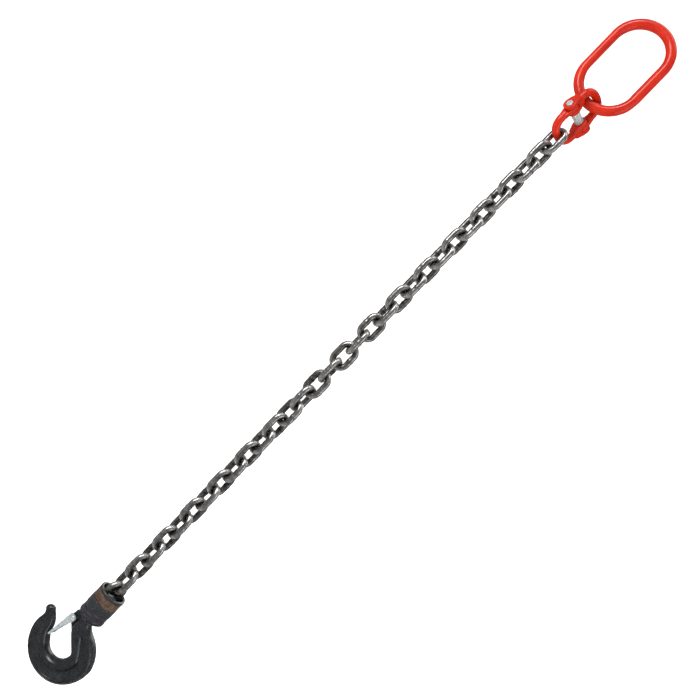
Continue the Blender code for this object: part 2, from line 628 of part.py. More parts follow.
def make_latch(parent):
    """A pressed channel: two cheeks that straddle the lug and a web along the throat's outer side."""
    outline = latch_cheek()
    bm = plate(bmesh.new(), outline, -LATCH_HALF_WIDTH, LATCH_HALF_WIDTH)
    latch = object_from_bmesh("latch", bm, "zinc")
    hollow = [(-6.1, 9.0), (-6.1, -43.0), (9.0, -43.0), (9.0, 9.0)]
    inside = LATCH_HALF_WIDTH - LATCH_SHEET
    hollow_bm = plate(bmesh.new(), [(x * MM, z * MM) for x, z in hollow], -inside, inside)
    combine(latch, object_from_bmesh("hollow", hollow_bm, "zinc"), "DIFFERENCE")
    mouth = [(-9.0, 9.0), (-9.0, -6.5), (-5.6, -6.5), (-5.6, 9.0)]
    mouth_bm = plate(bmesh.new(), [(x * MM, z * MM) for x, z in mouth], -inside, inside)
    combine(latch, object_from_bmesh("mouth", mouth_bm, "zinc"), "DIFFERENCE")
    hole_bm = cylinder_z(bmesh.new(), RIVET_RADIUS + GAP, -20 * MM, 20 * MM, 16)
    hole_bm.transform(Matrix.Rotation(math.radians(90), 4, "X"))
    combine(latch, object_from_bmesh("hole", hole_bm, "zinc"), "DIFFERENCE")
    latch.location = (LATCH_PIVOT.x, 0, LATCH_PIVOT.y)
    latch.rotation_euler = (0, LATCH_LEAN, 0)
    latch.parent = parent


def make_rivet(parent):
    """A headed rivet along Y through the cheeks and the lug."""
    seat = LATCH_HALF_WIDTH + GAP
    head = 1.6 * MM
    stops = [(2.6, seat + head), (3.9, seat + head * 0.55), (4.2, seat), (RIVET_RADIUS / MM, seat)]
    half = [(r * MM, z) for r, z in stops]
    rings = []
    for radius, z in half + [(r, -z) for r, z in reversed(half)]:
        angles = [2 * math.pi * i / 16 for i in range(16)]
        rings.append([Vector((radius * math.cos(a), z, radius * math.sin(a))) for a in angles])
    bm = skin(bmesh.new(), rings)
    location = (LATCH_PIVOT.x, 0, LATCH_PIVOT.y)
    object_from_bmesh("latch_rivet", bm, "zinc", location, parent=parent)


def spring_side():
    """One side of the double torsion spring: a leg against the shank, a coil, and a leg to the web."""
    inner_y = LUG_HALF + 3 * GAP
    outer_y = LATCH_HALF_WIDTH - LATCH_SHEET - 3 * GAP
    steps = 12 * SPRING_TURNS + 5
    points = [Vector((SPRING_COIL_RADIUS + 0.2 * MM, outer_y, 7.0 * MM))]
    for i in range(steps + 1):
        angle = -2 * math.pi * i / 12
        y = outer_y + (inner_y - outer_y) * i / steps
        ring = Vector((SPRING_COIL_RADIUS * math.cos(angle), 0, SPRING_COIL_RADIUS * math.sin(angle)))
        points.append(ring + Vector((0, y, 0)))
    points.append(Vector((-5.6 * MM, inner_y, -13.5 * MM)))
    return points


def make_spring(parent):
    """Both sides joined by a bridge that presses on the latch's web."""
    side = spring_side()
    other = [Vector((p.x, -p.y, p.z)) for p in reversed(side)]
    curve = bpy.data.curves.new("latch_spring", "CURVE")
    curve.dimensions = "3D"
    curve.bevel_depth = SPRING_WIRE_RADIUS
    curve.bevel_resolution = 1
    curve.use_fill_caps = True
    spline = curve.splines.new("POLY")
    spline.points.add(len(side) + len(other) - 1)
    for slot, point in zip(spline.points, side + other):
        slot.co = (point.x, point.y, point.z, 1)
    curve.materials.append(material("bright_steel"))
    location = (LATCH_PIVOT.x, 0, LATCH_PIVOT.y)
    object_from_mesh("latch_spring", curve, location, parent=parent)


def main():
    for obj in list(bpy.data.objects):
        bpy.data.objects.remove(obj, do_unlink=True)
    make_master_link()
    make_coupling()
    make_chain()
    make_barrel()
    swivel = axis_empty("swivel_axis", (0, 0, BARREL_BOTTOM))
    race = UPPER_RACE_LEVEL - BARREL_BOTTOM
    washer("bearing_race_upper", race, 8.6 * MM, RACE_OUTER_RADIUS, RACE_THICKNESS, "bright_steel", swivel)
    make_bearing_cage(None)
    make_nut(swivel)
    make_hook(swivel)
    make_latch(swivel)
    make_rivet(swivel)
    make_spring(swivel)


main()
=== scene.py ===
"""Looks of the one-leg chain sling: fine forged, drawn and turned surfaces round the CAD frame.

Every piece stands for a CAD node and rides on its body. Places come from the frame's boxes and
joints. The sizes below repeat the driving dimensions of the CAD part, in metres.
"""

import json
import math

import bmesh
import bpy
import numpy as np
from mathutils import Matrix, Vector

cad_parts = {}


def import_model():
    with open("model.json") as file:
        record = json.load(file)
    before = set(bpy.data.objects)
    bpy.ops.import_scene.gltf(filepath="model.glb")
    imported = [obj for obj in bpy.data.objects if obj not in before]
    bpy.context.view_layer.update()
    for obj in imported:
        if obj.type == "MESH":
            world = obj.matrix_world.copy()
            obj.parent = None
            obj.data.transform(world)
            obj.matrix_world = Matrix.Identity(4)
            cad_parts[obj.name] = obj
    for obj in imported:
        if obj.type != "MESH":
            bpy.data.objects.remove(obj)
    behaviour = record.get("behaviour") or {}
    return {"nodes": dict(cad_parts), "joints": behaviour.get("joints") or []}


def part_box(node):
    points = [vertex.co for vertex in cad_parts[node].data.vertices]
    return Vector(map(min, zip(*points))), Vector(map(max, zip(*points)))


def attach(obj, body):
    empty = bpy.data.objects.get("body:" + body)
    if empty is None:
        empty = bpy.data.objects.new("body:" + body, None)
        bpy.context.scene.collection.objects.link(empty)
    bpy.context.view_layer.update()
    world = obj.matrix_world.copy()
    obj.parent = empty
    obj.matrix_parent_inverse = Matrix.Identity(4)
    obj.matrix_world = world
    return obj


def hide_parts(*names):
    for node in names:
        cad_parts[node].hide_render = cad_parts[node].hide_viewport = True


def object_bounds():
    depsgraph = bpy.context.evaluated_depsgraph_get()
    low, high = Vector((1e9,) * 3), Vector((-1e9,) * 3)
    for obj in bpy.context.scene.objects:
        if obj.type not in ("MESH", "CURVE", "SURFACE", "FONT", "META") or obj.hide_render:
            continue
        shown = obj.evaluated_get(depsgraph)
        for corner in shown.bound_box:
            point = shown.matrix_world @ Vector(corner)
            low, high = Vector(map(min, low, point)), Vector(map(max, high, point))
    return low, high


MM = 0.001
UP = Vector((0, 0, 1))
SHARP_EDGE = math.radians(38)  # faces that meet at more than this keep a hard edge
CORNER_STEPS = 4  # spans along a rounded corner of an outline

# Master link
MASTER_BAR = 16.0 * MM
MASTER_WIDTH = 91.0 * MM  # between the centres of its legs
MASTER_LENGTH = 151.0 * MM  # between the centres of its crowns
MASTER_FLAT_SQUEEZE = 0.88  # depth of the bar in the link's plane along its flattened side
DINT_LEVEL, DINT_HALF, DINT_DEPTH = -112.0 * MM, 12.0 * MM, 0.5 * MM

# Coupling link
COUPLING_BAR = 12.6 * MM
COUPLING_LENGTH = 80.6 * MM
COUPLING_SQUARENESS = 0.82
LUG_RADIUS = 10.5 * MM
LUG_INNER_X = 11.4 * MM
LUG_OUTER_X = 29.8 * MM
LUG_FOOT = 19.0 * MM  # below the pin, where a lug has run into the bar
TONGUE_THICKNESS = 6.4 * MM
COUPLING_PIN_RADIUS = 5.2 * MM
COUPLING_HOLE_RADIUS = 5.5 * MM
BUSH_RADIUS = 7.0 * MM
BUSH_RIDGES = 12
BUSH_RIDGE_HEIGHT = 0.75 * MM

# Chain
CHAIN_BAR = 10.0 * MM
LINK_WIDTH = 24.0 * MM
LINK_LENGTH = 40.3 * MM
PIVOT_BELOW_CROWN = 10.3 * MM
WELD_RISE = 0.45 * MM
WELD_HALF = 3.2 * MM

# Barrel
BARREL_RADIUS = 22.5 * MM
BORE_RADIUS = 18.0 * MM
BARREL_FLOOR = 6.0 * MM
SHANK_HOLE_RADIUS = 8.4 * MM
UPPER_GROOVE = (5.5 * MM, 19.0 * MM)  # below the rim
UPPER_GROOVE_RADIUS = 20.7 * MM
LOWER_GROOVE = (33.5 * MM, 46.0 * MM)
LOWER_GROOVE_RADIUS = 21.8 * MM
BAND_RADIUS = 22.1 * MM
BAND_SPLIT = 3.0 * MM
CHAIN_PIN_RADIUS = 6.0 * MM
RACE_RADIUS = 16.0 * MM
BALL_RADIUS = 2.0 * MM
BALL_CIRCLE_RADIUS = 12.3 * MM
BALL_COUNT = 10
CAGE_HALF_THICKNESS = 0.6 * MM

# Hook, from the barrel's bottom face
SHANK_RADIUS = 8.0 * MM
NECK_GAP = 2.9 * MM
COLLAR_RADIUS = 13.6 * MM
NECK_RADIUS = 10.8 * MM
NECK_FOOT = 13.0 * MM
BOWL_CENTRE = Vector((-3.6, -60.0)) * MM
BOWL_RADIUS = 22.9 * MM
BACK_CENTRE = Vector((0.8, -60.5)) * MM
BACK_HALF_WIDTH = 58.3 * MM
BACK_HALF_HEIGHT = 56.0 * MM
BEAD_HALF = 11.5 * MM
FLANGE_HALF = 9.4 * MM
POCKET_HALF = 4.6 * MM
HOOK_LUG_HALF = 3.0 * MM

# Latch
LATCH_LEAN = math.radians(6.0)
LATCH_SHEET = 1.3 * MM
LATCH_HALF_WIDTH = 8.1 * MM
RIVET_RADIUS = 2.5 * MM
SPRING_WIRE_RADIUS = 0.5 * MM
SPRING_COIL_RADIUS = 4.2 * MM
SPRING_TURNS = 2 + 5 / 12

# Camera: nearly square on to the sling, which runs across the picture's diagonal
CAMERA_AZIMUTH = math.radians(14.0)
CAMERA_ROLL = math.radians(44.2)  # clockwise, of the sling in the picture
CAMERA_DISTANCE = 1.25
CAMERA_ELEVATION = math.radians(1.8)
CAMERA_LENS = 42.58
CAMERA_AIM = Vector((0, 0, -0.654))

# Stage
STAGE_DROP = 0.25  # of the floor below the sling
STAGE_FLAT = 3.0  # radius of the level floor
STAGE_CURVE = 2.6  # radius of the cove between floor and wall
STAGE_WALL = 4.5


# ---------------------------------------------------------------------------------------- materials


def new_material(slot):
    """An empty node material with its shader, and the texture coordinates of the fixed frame."""
    made = bpy.data.materials.new(slot + "_finish")
    made.use_nodes = True
    tree = made.node_tree
    place = tree.nodes.new("ShaderNodeTexCoord").outputs["Object"]
    return made, tree, tree.nodes["Principled BSDF"], place


def noise(tree, place, size, detail=4.0, roughness=0.55):
    """Noise whose features are about size metres across."""
    node = tree.nodes.new("ShaderNodeTexNoise")
    node.inputs["Scale"].default_value = 1.0 / size
    node.inputs["Detail"].default_value = detail
    node.inputs["Roughness"].default_value = roughness
    tree.links.new(place, node.inputs["Vector"])
    return node.outputs["Fac"]


def stretched(tree, place, factors):
    """The same place, stretched along the axes, for grain that runs one way."""
    node = tree.nodes.new("ShaderNodeVectorMath")
    node.operation = "MULTIPLY"
    node.inputs[1].default_value = factors
    tree.links.new(place, node.inputs[0])
    return node.outputs["Vector"]


def ramp(tree, value, *stops):
    """Colours or greys at stops along a value."""
    node = tree.nodes.new("ShaderNodeValToRGB")
    elements = node.color_ramp.elements
    while len(elements) < len(stops):
        elements.new(0.5)
    for element, (position, colour) in zip(elements, stops):
        element.position = position
        element.color = (*colour, 1) if isinstance(colour, tuple) else (colour, colour, colour, 1)
    tree.links.new(value, node.inputs["Fac"])
    return node.outputs["Color"]


def mix(tree, share, first, second, blend="MIX"):
    """Mixes two colours; each is a socket or a colour, and the share is a socket or a number."""
    node = tree.nodes.new("ShaderNodeMix")
    node.data_type = "RGBA"
    node.blend_type = blend
    for index, value in ((0, share), (6, first), (7, second)):
        socket = node.inputs[index]
        if isinstance(value, bpy.types.NodeSocket):
            tree.links.new(value, socket)
        elif isinstance(value, tuple):
            socket.default_value = (*value, 1)
        else:
            socket.default_value = value
    return node.outputs[2]


def attribute(tree, name):
    """A number that the mesh carries at each point."""
    node = tree.nodes.new("ShaderNodeAttribute")
    node.attribute_name = name
    return node.outputs["Fac"]


def worn_and_highlit_edges(tree, start, full):
    """A mask of the outward edges, where handling rubs a surface and where a painted highlight lies
    along them.
    """
    node = tree.nodes.new("ShaderNodeNewGeometry")
    return ramp(tree, node.outputs["Pointiness"], (start, 0.0), (full, 1.0))


def add_bump(tree, shader, *layers):
    """Chains bump layers, each a height socket with its depth in metres and its strength."""
    previous = None
    for height, depth, strength in layers:
        node = tree.nodes.new("ShaderNodeBump")
        node.inputs["Distance"].default_value = depth
        node.inputs["Strength"].default_value = strength
        tree.links.new(height, node.inputs["Height"])
        if previous is not None:
            tree.links.new(previous, node.inputs["Normal"])
        previous = node.outputs["Normal"]
    tree.links.new(previous, shader.inputs["Normal"])


def red_paint():
    """Stove-enamelled red over a forged skin: glossy, a little uneven, chipped in places."""
    made, tree, shader, place = new_material("red_paint")
    tone = ramp(
        tree,
        noise(tree, place, 30 * MM),
        (0.35, (0.31, 0.009, 0.002)),
        (0.65, (0.41, 0.016, 0.003)),
    )
    speck = ramp(
        tree,
        noise(tree, place, 1.6 * MM, 2.0),
        (0.42, (0.30, 0.006, 0.002)),
        (0.52, (0.50, 0.018, 0.006)),
    )
    paint = mix(tree, 0.25, tone, speck)
    # Lighter red along the outward edges: partly rubbed paint, partly a painted highlight
    rubbed_and_highlit = worn_and_highlit_edges(tree, 0.535, 0.57)
    paint = mix(tree, mix(tree, 0.5, (0.0, 0.0, 0.0), rubbed_and_highlit), paint, (0.62, 0.045, 0.020))
    chips = ramp(tree, noise(tree, place, 5.5 * MM, 6.0, 0.7), (0.715, 0.0), (0.73, 1.0))
    steel = noise(tree, place, 1.0 * MM)
    bare = ramp(tree, steel, (0.3, (0.30, 0.27, 0.25)), (0.7, (0.62, 0.60, 0.58)))
    tree.links.new(mix(tree, chips, paint, bare), shader.inputs["Base Color"])
    tree.links.new(mix(tree, chips, (0.0, 0.0, 0.0), (0.9, 0.9, 0.9)), shader.inputs["Metallic"])
    gloss = ramp(tree, noise(tree, place, 6 * MM), (0.3, 0.14), (0.7, 0.26))
    tree.links.new(gloss, shader.inputs["Roughness"])
    shader.inputs["Specular IOR Level"].default_value = 0.28
    shader.inputs["Coat Weight"].default_value = 0.15
    shader.inputs["Coat Roughness"].default_value = 0.06
    add_bump(
        tree,
        shader,
        (noise(tree, place, 14 * MM, 2.0), 1.4 * MM, 0.30),
        (noise(tree, place, 2.2 * MM, 3.0), 0.25 * MM, 0.35),
        (mix(tree, chips, (1.0, 1.0, 1.0), (0.0, 0.0, 0.0)), 0.15 * MM, 0.7),
    )
    return made


def zinc():
    """Bright zinc plating with a faint blue-green passivation and cloudy patches."""
    made, tree, shader, place = new_material("zinc")
    cloud = ramp(
        tree,
        noise(tree, place, 9 * MM, 5.0),
        (0.30, (0.48, 0.55, 0.57)),
        (0.55, (0.64, 0.70, 0.71)),
        (0.75, (0.78, 0.80, 0.76)),
    )
    dull = ramp(tree, noise(tree, place, 1.2 * MM, 3.0), (0.35, 0.65), (0.6, 1.0))
    tree.links.new(mix(tree, 0.3, cloud, dull, "MULTIPLY"), shader.inputs["Base Color"])
    shader.inputs["Metallic"].default_value = 0.65
    gloss = ramp(tree, noise(tree, place, 3 * MM, 4.0), (0.3, 0.20), (0.7, 0.36))
    tree.links.new(gloss, shader.inputs["Roughness"])
    add_bump(
        tree,
        shader,
        (noise(tree, place, 4 * MM, 3.0), 0.2 * MM, 0.25),
        (noise(tree, stretched(tree, place, (1, 6, 1)), 0.8 * MM, 2.0), 0.05 * MM, 0.3),
    )
    return made


def chain_steel():
    """Tumbled bare steel: painted shade in each link's hollows, polish where it rubs with a painted
    highlight on the outer sides, finely dinted.
    """
    made, tree, shader, place = new_material("chain_steel")
    cloud = ramp(
        tree,
        noise(tree, place, 8 * MM, 6.0, 0.65),
        (0.34, (0.075, 0.068, 0.062)),
        (0.52, (0.17, 0.163, 0.155)),
        (0.72, (0.44, 0.435, 0.425)),
    )
    # Outer sides of the links lighter: partly polish, partly a painted highlight
    polish_and_highlight = ramp(tree, attribute(tree, "polish_and_highlight"), (0.15, 0.0), (1.0, 1.0))
    patchy = ramp(tree, noise(tree, place, 3 * MM, 5.0, 0.7), (0.35, 0.45), (0.6, 1.0))
    polish_and_highlight_share = mix(tree, 1.0, polish_and_highlight, patchy, "MULTIPLY")
    colour = mix(tree, polish_and_highlight_share, cloud, (0.80, 0.795, 0.785))
    # Painted shade, near black and rougher, in each link's hollow, plus a darker weld
    hollow_shade_and_dark_weld = ramp(tree, attribute(tree, "hollow_shade_and_dark_weld"), (0.2, 0.0), (1.0, 0.9))
    tree.links.new(mix(tree, hollow_shade_and_dark_weld, colour, (0.014, 0.012, 0.011)), shader.inputs["Base Color"])
    shader.inputs["Metallic"].default_value = 0.9
    dry = ramp(tree, noise(tree, place, 2.5 * MM, 4.0), (0.3, 0.13), (0.7, 0.30))
    tree.links.new(mix(tree, hollow_shade_and_dark_weld, dry, (0.62, 0.62, 0.62)), shader.inputs["Roughness"])
    add_bump(
        tree,
        shader,
        (noise(tree, place, 5 * MM, 3.0), 0.3 * MM, 0.3),
        (noise(tree, place, 0.9 * MM, 4.0), 0.06 * MM, 0.4),
    )
    return made


def black_forging():
    """Black oxide scale over a coarse forged skin, semi-gloss with oil, greyer on its edges where
    it is worn and where a painted highlight lies.
    """
    made, tree, shader, place = new_material("black_forging")
    tint = (0.016, 0.018, 0.021)
    dark = tuple(0.55 * c for c in tint)
    light = tuple(1.75 * c for c in tint)
    cloud = ramp(tree, noise(tree, place, 16 * MM, 5.0), (0.32, dark), (0.55, tint), (0.75, light))
    dust = ramp(tree, noise(tree, place, 1.1 * MM, 3.0), (0.62, 0.0), (0.75, 0.2))
    cloud = mix(tree, dust, cloud, (0.12, 0.125, 0.13))
    # Greyer along the outward edges and ridges: partly worn oxide, partly a painted highlight
    rubbed_and_highlit = mix(tree, 1.0, worn_and_highlit_edges(tree, 0.515, 0.56), (0.7, 0.7, 0.7), "MULTIPLY")
    tree.links.new(mix(tree, rubbed_and_highlit, cloud, (0.13, 0.135, 0.145)), shader.inputs["Base Color"])
    shader.inputs["Metallic"].default_value = 0.35
    gloss = ramp(tree, noise(tree, place, 5 * MM, 4.0), (0.3, 0.21), (0.7, 0.31))
    tree.links.new(gloss, shader.inputs["Roughness"])
    shader.inputs["Specular IOR Level"].default_value = 0.9
    add_bump(
        tree,
        shader,
        (noise(tree, place, 7 * MM, 3.0), 0.35 * MM, 0.2),
        (noise(tree, place, 1.3 * MM, 4.0, 0.6), 0.10 * MM, 0.4),
    )
    return made


# Three colours that turned steel drifts between, and its least roughness
COPPER_TINT = (0.09, 0.055, 0.042), (0.26, 0.155, 0.11), (0.46, 0.32, 0.25), 0.22
VIOLET_TINT = (0.040, 0.040, 0.046), (0.095, 0.090, 0.115), (0.20, 0.175, 0.165), 0.28
GROUND_STEEL = (0.13, 0.12, 0.11), (0.22, 0.21, 0.20), (0.36, 0.35, 0.34), 0.28


def turned_steel(slot, name, low, middle, high, roughness):
    """Steel turned in a lathe: fine grooves round Z under a heat tint that drifts."""
    made, tree, shader, place = new_material(slot)
    made.name = name
    drift = noise(tree, stretched(tree, place, (1, 1, 2.5)), 11 * MM, 5.0, 0.6)
    tint = ramp(tree, drift, (0.30, low), (0.50, middle), (0.72, high))
    grain = noise(tree, stretched(tree, place, (1, 1, 30)), 6 * MM, 3.0)
    streak = ramp(tree, grain, (0.3, 0.6), (0.6, 1.0))
    tree.links.new(mix(tree, 0.6, tint, streak, "MULTIPLY"), shader.inputs["Base Color"])
    shader.inputs["Metallic"].default_value = 0.85
    patch = ramp(tree, noise(tree, place, 4 * MM, 4.0), (0.3, roughness), (0.7, roughness + 0.16))
    tree.links.new(patch, shader.inputs["Roughness"])
    add_bump(
        tree,
        shader,
        (noise(tree, stretched(tree, place, (1, 1, 40)), 8 * MM, 2.0), 0.08 * MM, 0.5),
        (noise(tree, place, 3 * MM, 3.0), 0.12 * MM, 0.25),
    )
    return made


def pale_floor():
    """The pale matt floor that rises into a backdrop."""
    made, tree, shader, place = new_material("stage")
    tone = ramp(tree, noise(tree, place, 2.0, 2.0), (0.3, 0.88), (0.7, 0.90))
    tree.links.new(tone, shader.inputs["Base Color"])
    shader.inputs["Roughness"].default_value = 0.9
    shader.inputs["Specular IOR Level"].default_value = 0.1
    shader.inputs["Emission Color"].default_value = (1, 1, 1, 1)
    shader.inputs["Emission Strength"].default_value = 0.42
    return made


# ------------------------------------------------------------------------------------- mesh helpers


def smooth_step(value):
    """A soft step: 0 up to 0, 1 from 1 on, and smooth between them."""
    value = min(1.0, max(0.0, value))
    return value * value * (3 - 2 * value)


def placed(name, data):
    """A new object in the scene."""
    obj = bpy.data.objects.new(name, data)
    bpy.context.scene.collection.objects.link(obj)
    return obj


def realised(holder):
    """The mesh that an object makes with its modifiers or its curve; the object goes."""
    bpy.context.view_layer.update()
    evaluated = holder.evaluated_get(bpy.context.evaluated_depsgraph_get())
    mesh = bpy.data.meshes.new_from_object(evaluated)
    bpy.data.objects.remove(holder)
    return mesh


def piece(name, mesh, body, material, nodes):
    """Makes a finished mesh, already in the frame's place, a piece of the model."""
    for polygon in mesh.polygons:
        polygon.use_smooth = True
    mesh.set_sharp_from_angle(angle=SHARP_EDGE)
    mesh.materials.append(material)
    obj = placed(name, mesh)
    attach(obj, body)
    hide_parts(*nodes)


def skin(rings, closed=False):
    """A mesh through successive rings of points, capped at its ends unless it closes on itself."""
    count = len(rings[0])
    points = [point for ring in rings for point in ring]
    faces = []
    last = len(rings) if closed else len(rings) - 1
    for k in range(last):
        here = k * count
        there = ((k + 1) % len(rings)) * count
        for i in range(count):
            j = (i + 1) % count
            faces.append((here + i, here + j, there + j, there + i))
    if not closed:
        faces.append(tuple(range(count)))
        faces.append(tuple(range((len(rings) - 1) * count, len(rings) * count)))
    mesh = bpy.data.meshes.new("skin")
    mesh.from_pydata([tuple(p) for p in points], [], faces)
    outward(mesh)
    return mesh


def outward(mesh):
    """Turns all faces outward."""
    bm = bmesh.new()
    bm.from_mesh(mesh)
    bmesh.ops.recalc_face_normals(bm, faces=bm.faces)
    bm.to_mesh(mesh)
    bm.free()


def moved(mesh, matrix):
    """The same mesh, put through a matrix."""
    mesh.transform(matrix)
    return mesh


def joined(*meshes):
    """Several meshes as one."""
    bm = bmesh.new()
    for mesh in meshes:
        bm.from_mesh(mesh)
        bpy.data.meshes.remove(mesh)
    made = bpy.data.meshes.new("joined")
    bm.to_mesh(made)
    bm.free()
    return made


def applied(mesh, *modifiers):
    """The mesh after modifiers, each a type with its settings."""
    holder = placed("holder", mesh)
    for kind, settings in modifiers:
        modifier = holder.modifiers.new(kind.lower(), kind)
        for setting, value in settings.items():
            setattr(modifier, setting, value)
    made = realised(holder)
    bpy.data.meshes.remove(mesh)
    return made


def cut(mesh, tool, operation="DIFFERENCE"):
    """A Boolean of two meshes."""
    cutter = placed("cutter", tool)
    settings = {"operation": operation, "solver": "EXACT", "object": cutter}
    made = applied(mesh, ("BOOLEAN", settings))
    bpy.data.objects.remove(cutter)
    bpy.data.meshes.remove(tool)
    return made


def forged(mesh, voxel, rounds):
    """One skin over all the mesh's shapes, its edges and corners softened as in a forging."""
    skinned = ("REMESH", {"mode": "VOXEL", "voxel_size": voxel, "use_smooth_shade": True})
    return applied(mesh, skinned, ("SMOOTH", {"factor": 0.5, "iterations": rounds}))


def bar_ring(centre, across, half_depth, half_thickness, sides):
    """A ring of points round a bar: across lies in the XZ plane, the other axis is Y."""
    ring = []
    for i in range(sides):
        angle = 2 * math.pi * i / sides
        offset = across * (half_depth * math.cos(angle))
        ring.append(centre + offset + Vector((0, half_thickness * math.sin(angle), 0)))
    return ring


def oval_path(width, length, arc_steps, side_steps):
    """Centres and outward directions along an upright oval in XZ, its top at the origin."""
    radius = width / 2
    path = []
    for centre_z, first, side in ((-radius, 0.0, -1), (radius - length, math.pi, 1)):
        for i in range(arc_steps + 1):
            angle = first + math.pi * i / arc_steps
            direction = Vector((math.cos(angle), 0, math.sin(angle)))
            path.append((Vector((0, 0, centre_z)) + radius * direction, direction))
        start = path[-1][0]
        for i in range(1, side_steps):
            run = side * (length - width) * i / side_steps
            path.append((start + Vector((0, 0, run)), Vector((side, 0, 0))))
    return path


def turned(profile, steps, start=0.0, sweep=2 * math.pi):
    """A closed profile of (radius, z) points turned about Z."""
    whole = math.isclose(sweep, 2 * math.pi)
    count = steps if whole else steps + 1
    rings = []
    for i in range(count):
        angle = start + sweep * i / steps
        rings.append([Vector((r * math.cos(angle), r * math.sin(angle), z)) for r, z in profile])
    return skin(rings, closed=whole)


def rounded(outline, radius):
    """A closed outline of 2-D points with each corner rounded, as far as its sides allow."""
    made = []
    count = len(outline)
    for i in range(count):
        here = Vector(outline[i])
        before = Vector(outline[i - 1]) - here
        after = Vector(outline[(i + 1) % count]) - here
        room = min(before.length, after.length) * 0.45
        bend = before.angle(after)
        reach = min(room, radius / max(math.tan(bend / 2), 0.05))
        first = here + before.normalized() * reach
        last = here + after.normalized() * reach
        for k in range(CORNER_STEPS + 1):
            t = k / CORNER_STEPS
            made.append((1 - t) ** 2 * first + 2 * t * (1 - t) * here + t * t * last)
    return made


def rod(profile, sides, axis="X"):
    """A turned solid along an axis, from (radius, position) stops, its end caps flat."""
    rings = []
    for radius, along in profile:
        ring = []
        for i in range(sides):
            angle = 2 * math.pi * i / sides
            a, b = radius * math.cos(angle), radius * math.sin(angle)
            ring.append(Vector((along, a, b)) if axis == "X" else Vector((a, along, b)))
        rings.append(ring)
    return skin(rings)


def round_nose(radius, end, nose):
    """Stops of a rod's rounded end, from its side to its face."""
    stops = []
    for k in range(CORNER_STEPS + 1):
        angle = math.radians(90 * k / CORNER_STEPS)
        stops.append((radius - nose * (1 - math.cos(angle)), end - nose * (1 - math.sin(angle))))
    return stops


def pin_rod(radius, reach, nose, sides):
    """A pin along X with both ends rounded over, from -reach to reach."""
    end = round_nose(radius, reach, nose)
    return rod([(r, -x) for r, x in reversed(end)] + end, sides)


def plate(outline, y_from, y_to):
    """A flat plate from an outline of (x, z) points, between two Y planes."""
    return skin([[Vector((x, y, z)) for x, z in outline] for y in (y_from, y_to)])


def set_attribute(mesh, name, values):
    """Gives each point of a mesh a number for its material."""
    layer = mesh.attributes.new(name, "FLOAT", "POINT")
    layer.data.foreach_set("value", np.array(values, np.float32))


# --------------------------------------------------------------------------------------- the pieces


def joint_named(frame, name):
    """A joint's place and the yaw of its axis."""
    found = next(joint for joint in frame["joints"] if joint["name"] == name)
    axis = Vector(found["axis"])
    return Vector(found["pos_m"]), math.atan2(axis.y, axis.x)


def make_master_link(material):
    """An oval of round bar, one side flattened for the coupling link, the other a little dinted."""
    arc_steps, side_steps, sides = 44, 20, 40
    half = MASTER_BAR / 2
    flat_middle = -MASTER_LENGTH / 2
    flat_half = (MASTER_LENGTH - MASTER_WIDTH) / 2 + 6 * MM
    rings = []
    for centre, direction in oval_path(MASTER_WIDTH, MASTER_LENGTH, arc_steps, side_steps):
        on_flat_side = smooth_step(-direction.x * 3 - 2)
        along = smooth_step(1.6 - abs(centre.z - flat_middle) / flat_half)
        squeeze = 1 + (MASTER_FLAT_SQUEEZE - 1) * on_flat_side * along
        on_dint_side = smooth_step(direction.x * 3 - 1)
        dint = smooth_step(1 - abs(centre.z - DINT_LEVEL) / DINT_HALF) * on_dint_side
        rings.append(bar_ring(centre, direction, half * squeeze - dint * DINT_DEPTH, half, sides))
    mesh = skin(rings, closed=True)
    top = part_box("master_link")[1].z - MASTER_BAR / 2
    moved(mesh, Matrix.Translation((0, 0, top)))
    piece("master_link_forging", mesh, "master_link", material, ["master_link"])


def lug_outline():
    """Side view of a coupling lug, as (y, z): a round head about the pin, down to the bar."""
    half_bar = COUPLING_BAR / 2 - 0.2 * MM
    head_from, head_sweep = -25, 230  # degrees
    steps = 32
    outline = []
    for i in range(steps + 1):
        angle = math.radians(head_from + head_sweep * i / steps)
        outline.append((LUG_RADIUS * math.cos(angle), LUG_RADIUS * math.sin(angle)))
    return outline + [(-half_bar, -LUG_FOOT), (half_bar, -LUG_FOOT)]


def lug_block(x_from, x_to):
    """A lug of that outline between two X planes."""
    return skin([[Vector((x, y, z)) for y, z in lug_outline()] for x in (x_from, x_to)])


def coupling_crown(leg_x):
    """The bent bar of a coupling half: a leg on each side and a squared-off crown below."""
    crown_z = -COUPLING_LENGTH / 2 + leg_x
    bar = COUPLING_BAR / 2
    leg_top = -12 * MM
    centres = [(Vector((-leg_x, 0, leg_top)), Vector((-1, 0, 0)))]
    steps = 36
    for i in range(steps + 1):
        angle = math.pi + math.pi * i / steps
        direction = Vector((math.cos(angle), 0, math.sin(angle)))
        across = math.copysign(abs(direction.x) ** COUPLING_SQUARENESS, direction.x)
        down = -abs(direction.z) ** COUPLING_SQUARENESS
        centres.append((Vector((leg_x * across, 0, crown_z + leg_x * down)), direction))
    centres.append((Vector((leg_x, 0, leg_top)), Vector((1, 0, 0))))
    return skin([bar_ring(c, o, bar, bar, 32) for c, o in centres])


def fork_block(leg_x):
    """The fork before its slot is cut: a lug that narrows to the bar in the front view too."""
    fork_half = (LUG_OUTER_X - LUG_INNER_X) / 2
    head = LUG_RADIUS + 1 * MM
    neck_half = COUPLING_BAR / 2 - 0.4 * MM
    taper = [(fork_half, head), (fork_half, -8 * MM), (neck_half, -20 * MM)]
    taper += [(-x, z) for x, z in reversed(taper)]
    front = [(leg_x + x, z) for x, z in rounded(taper, 4 * MM)]
    return cut(lug_block(LUG_INNER_X, LUG_OUTER_X), plate(front, -head, head), "INTERSECT")


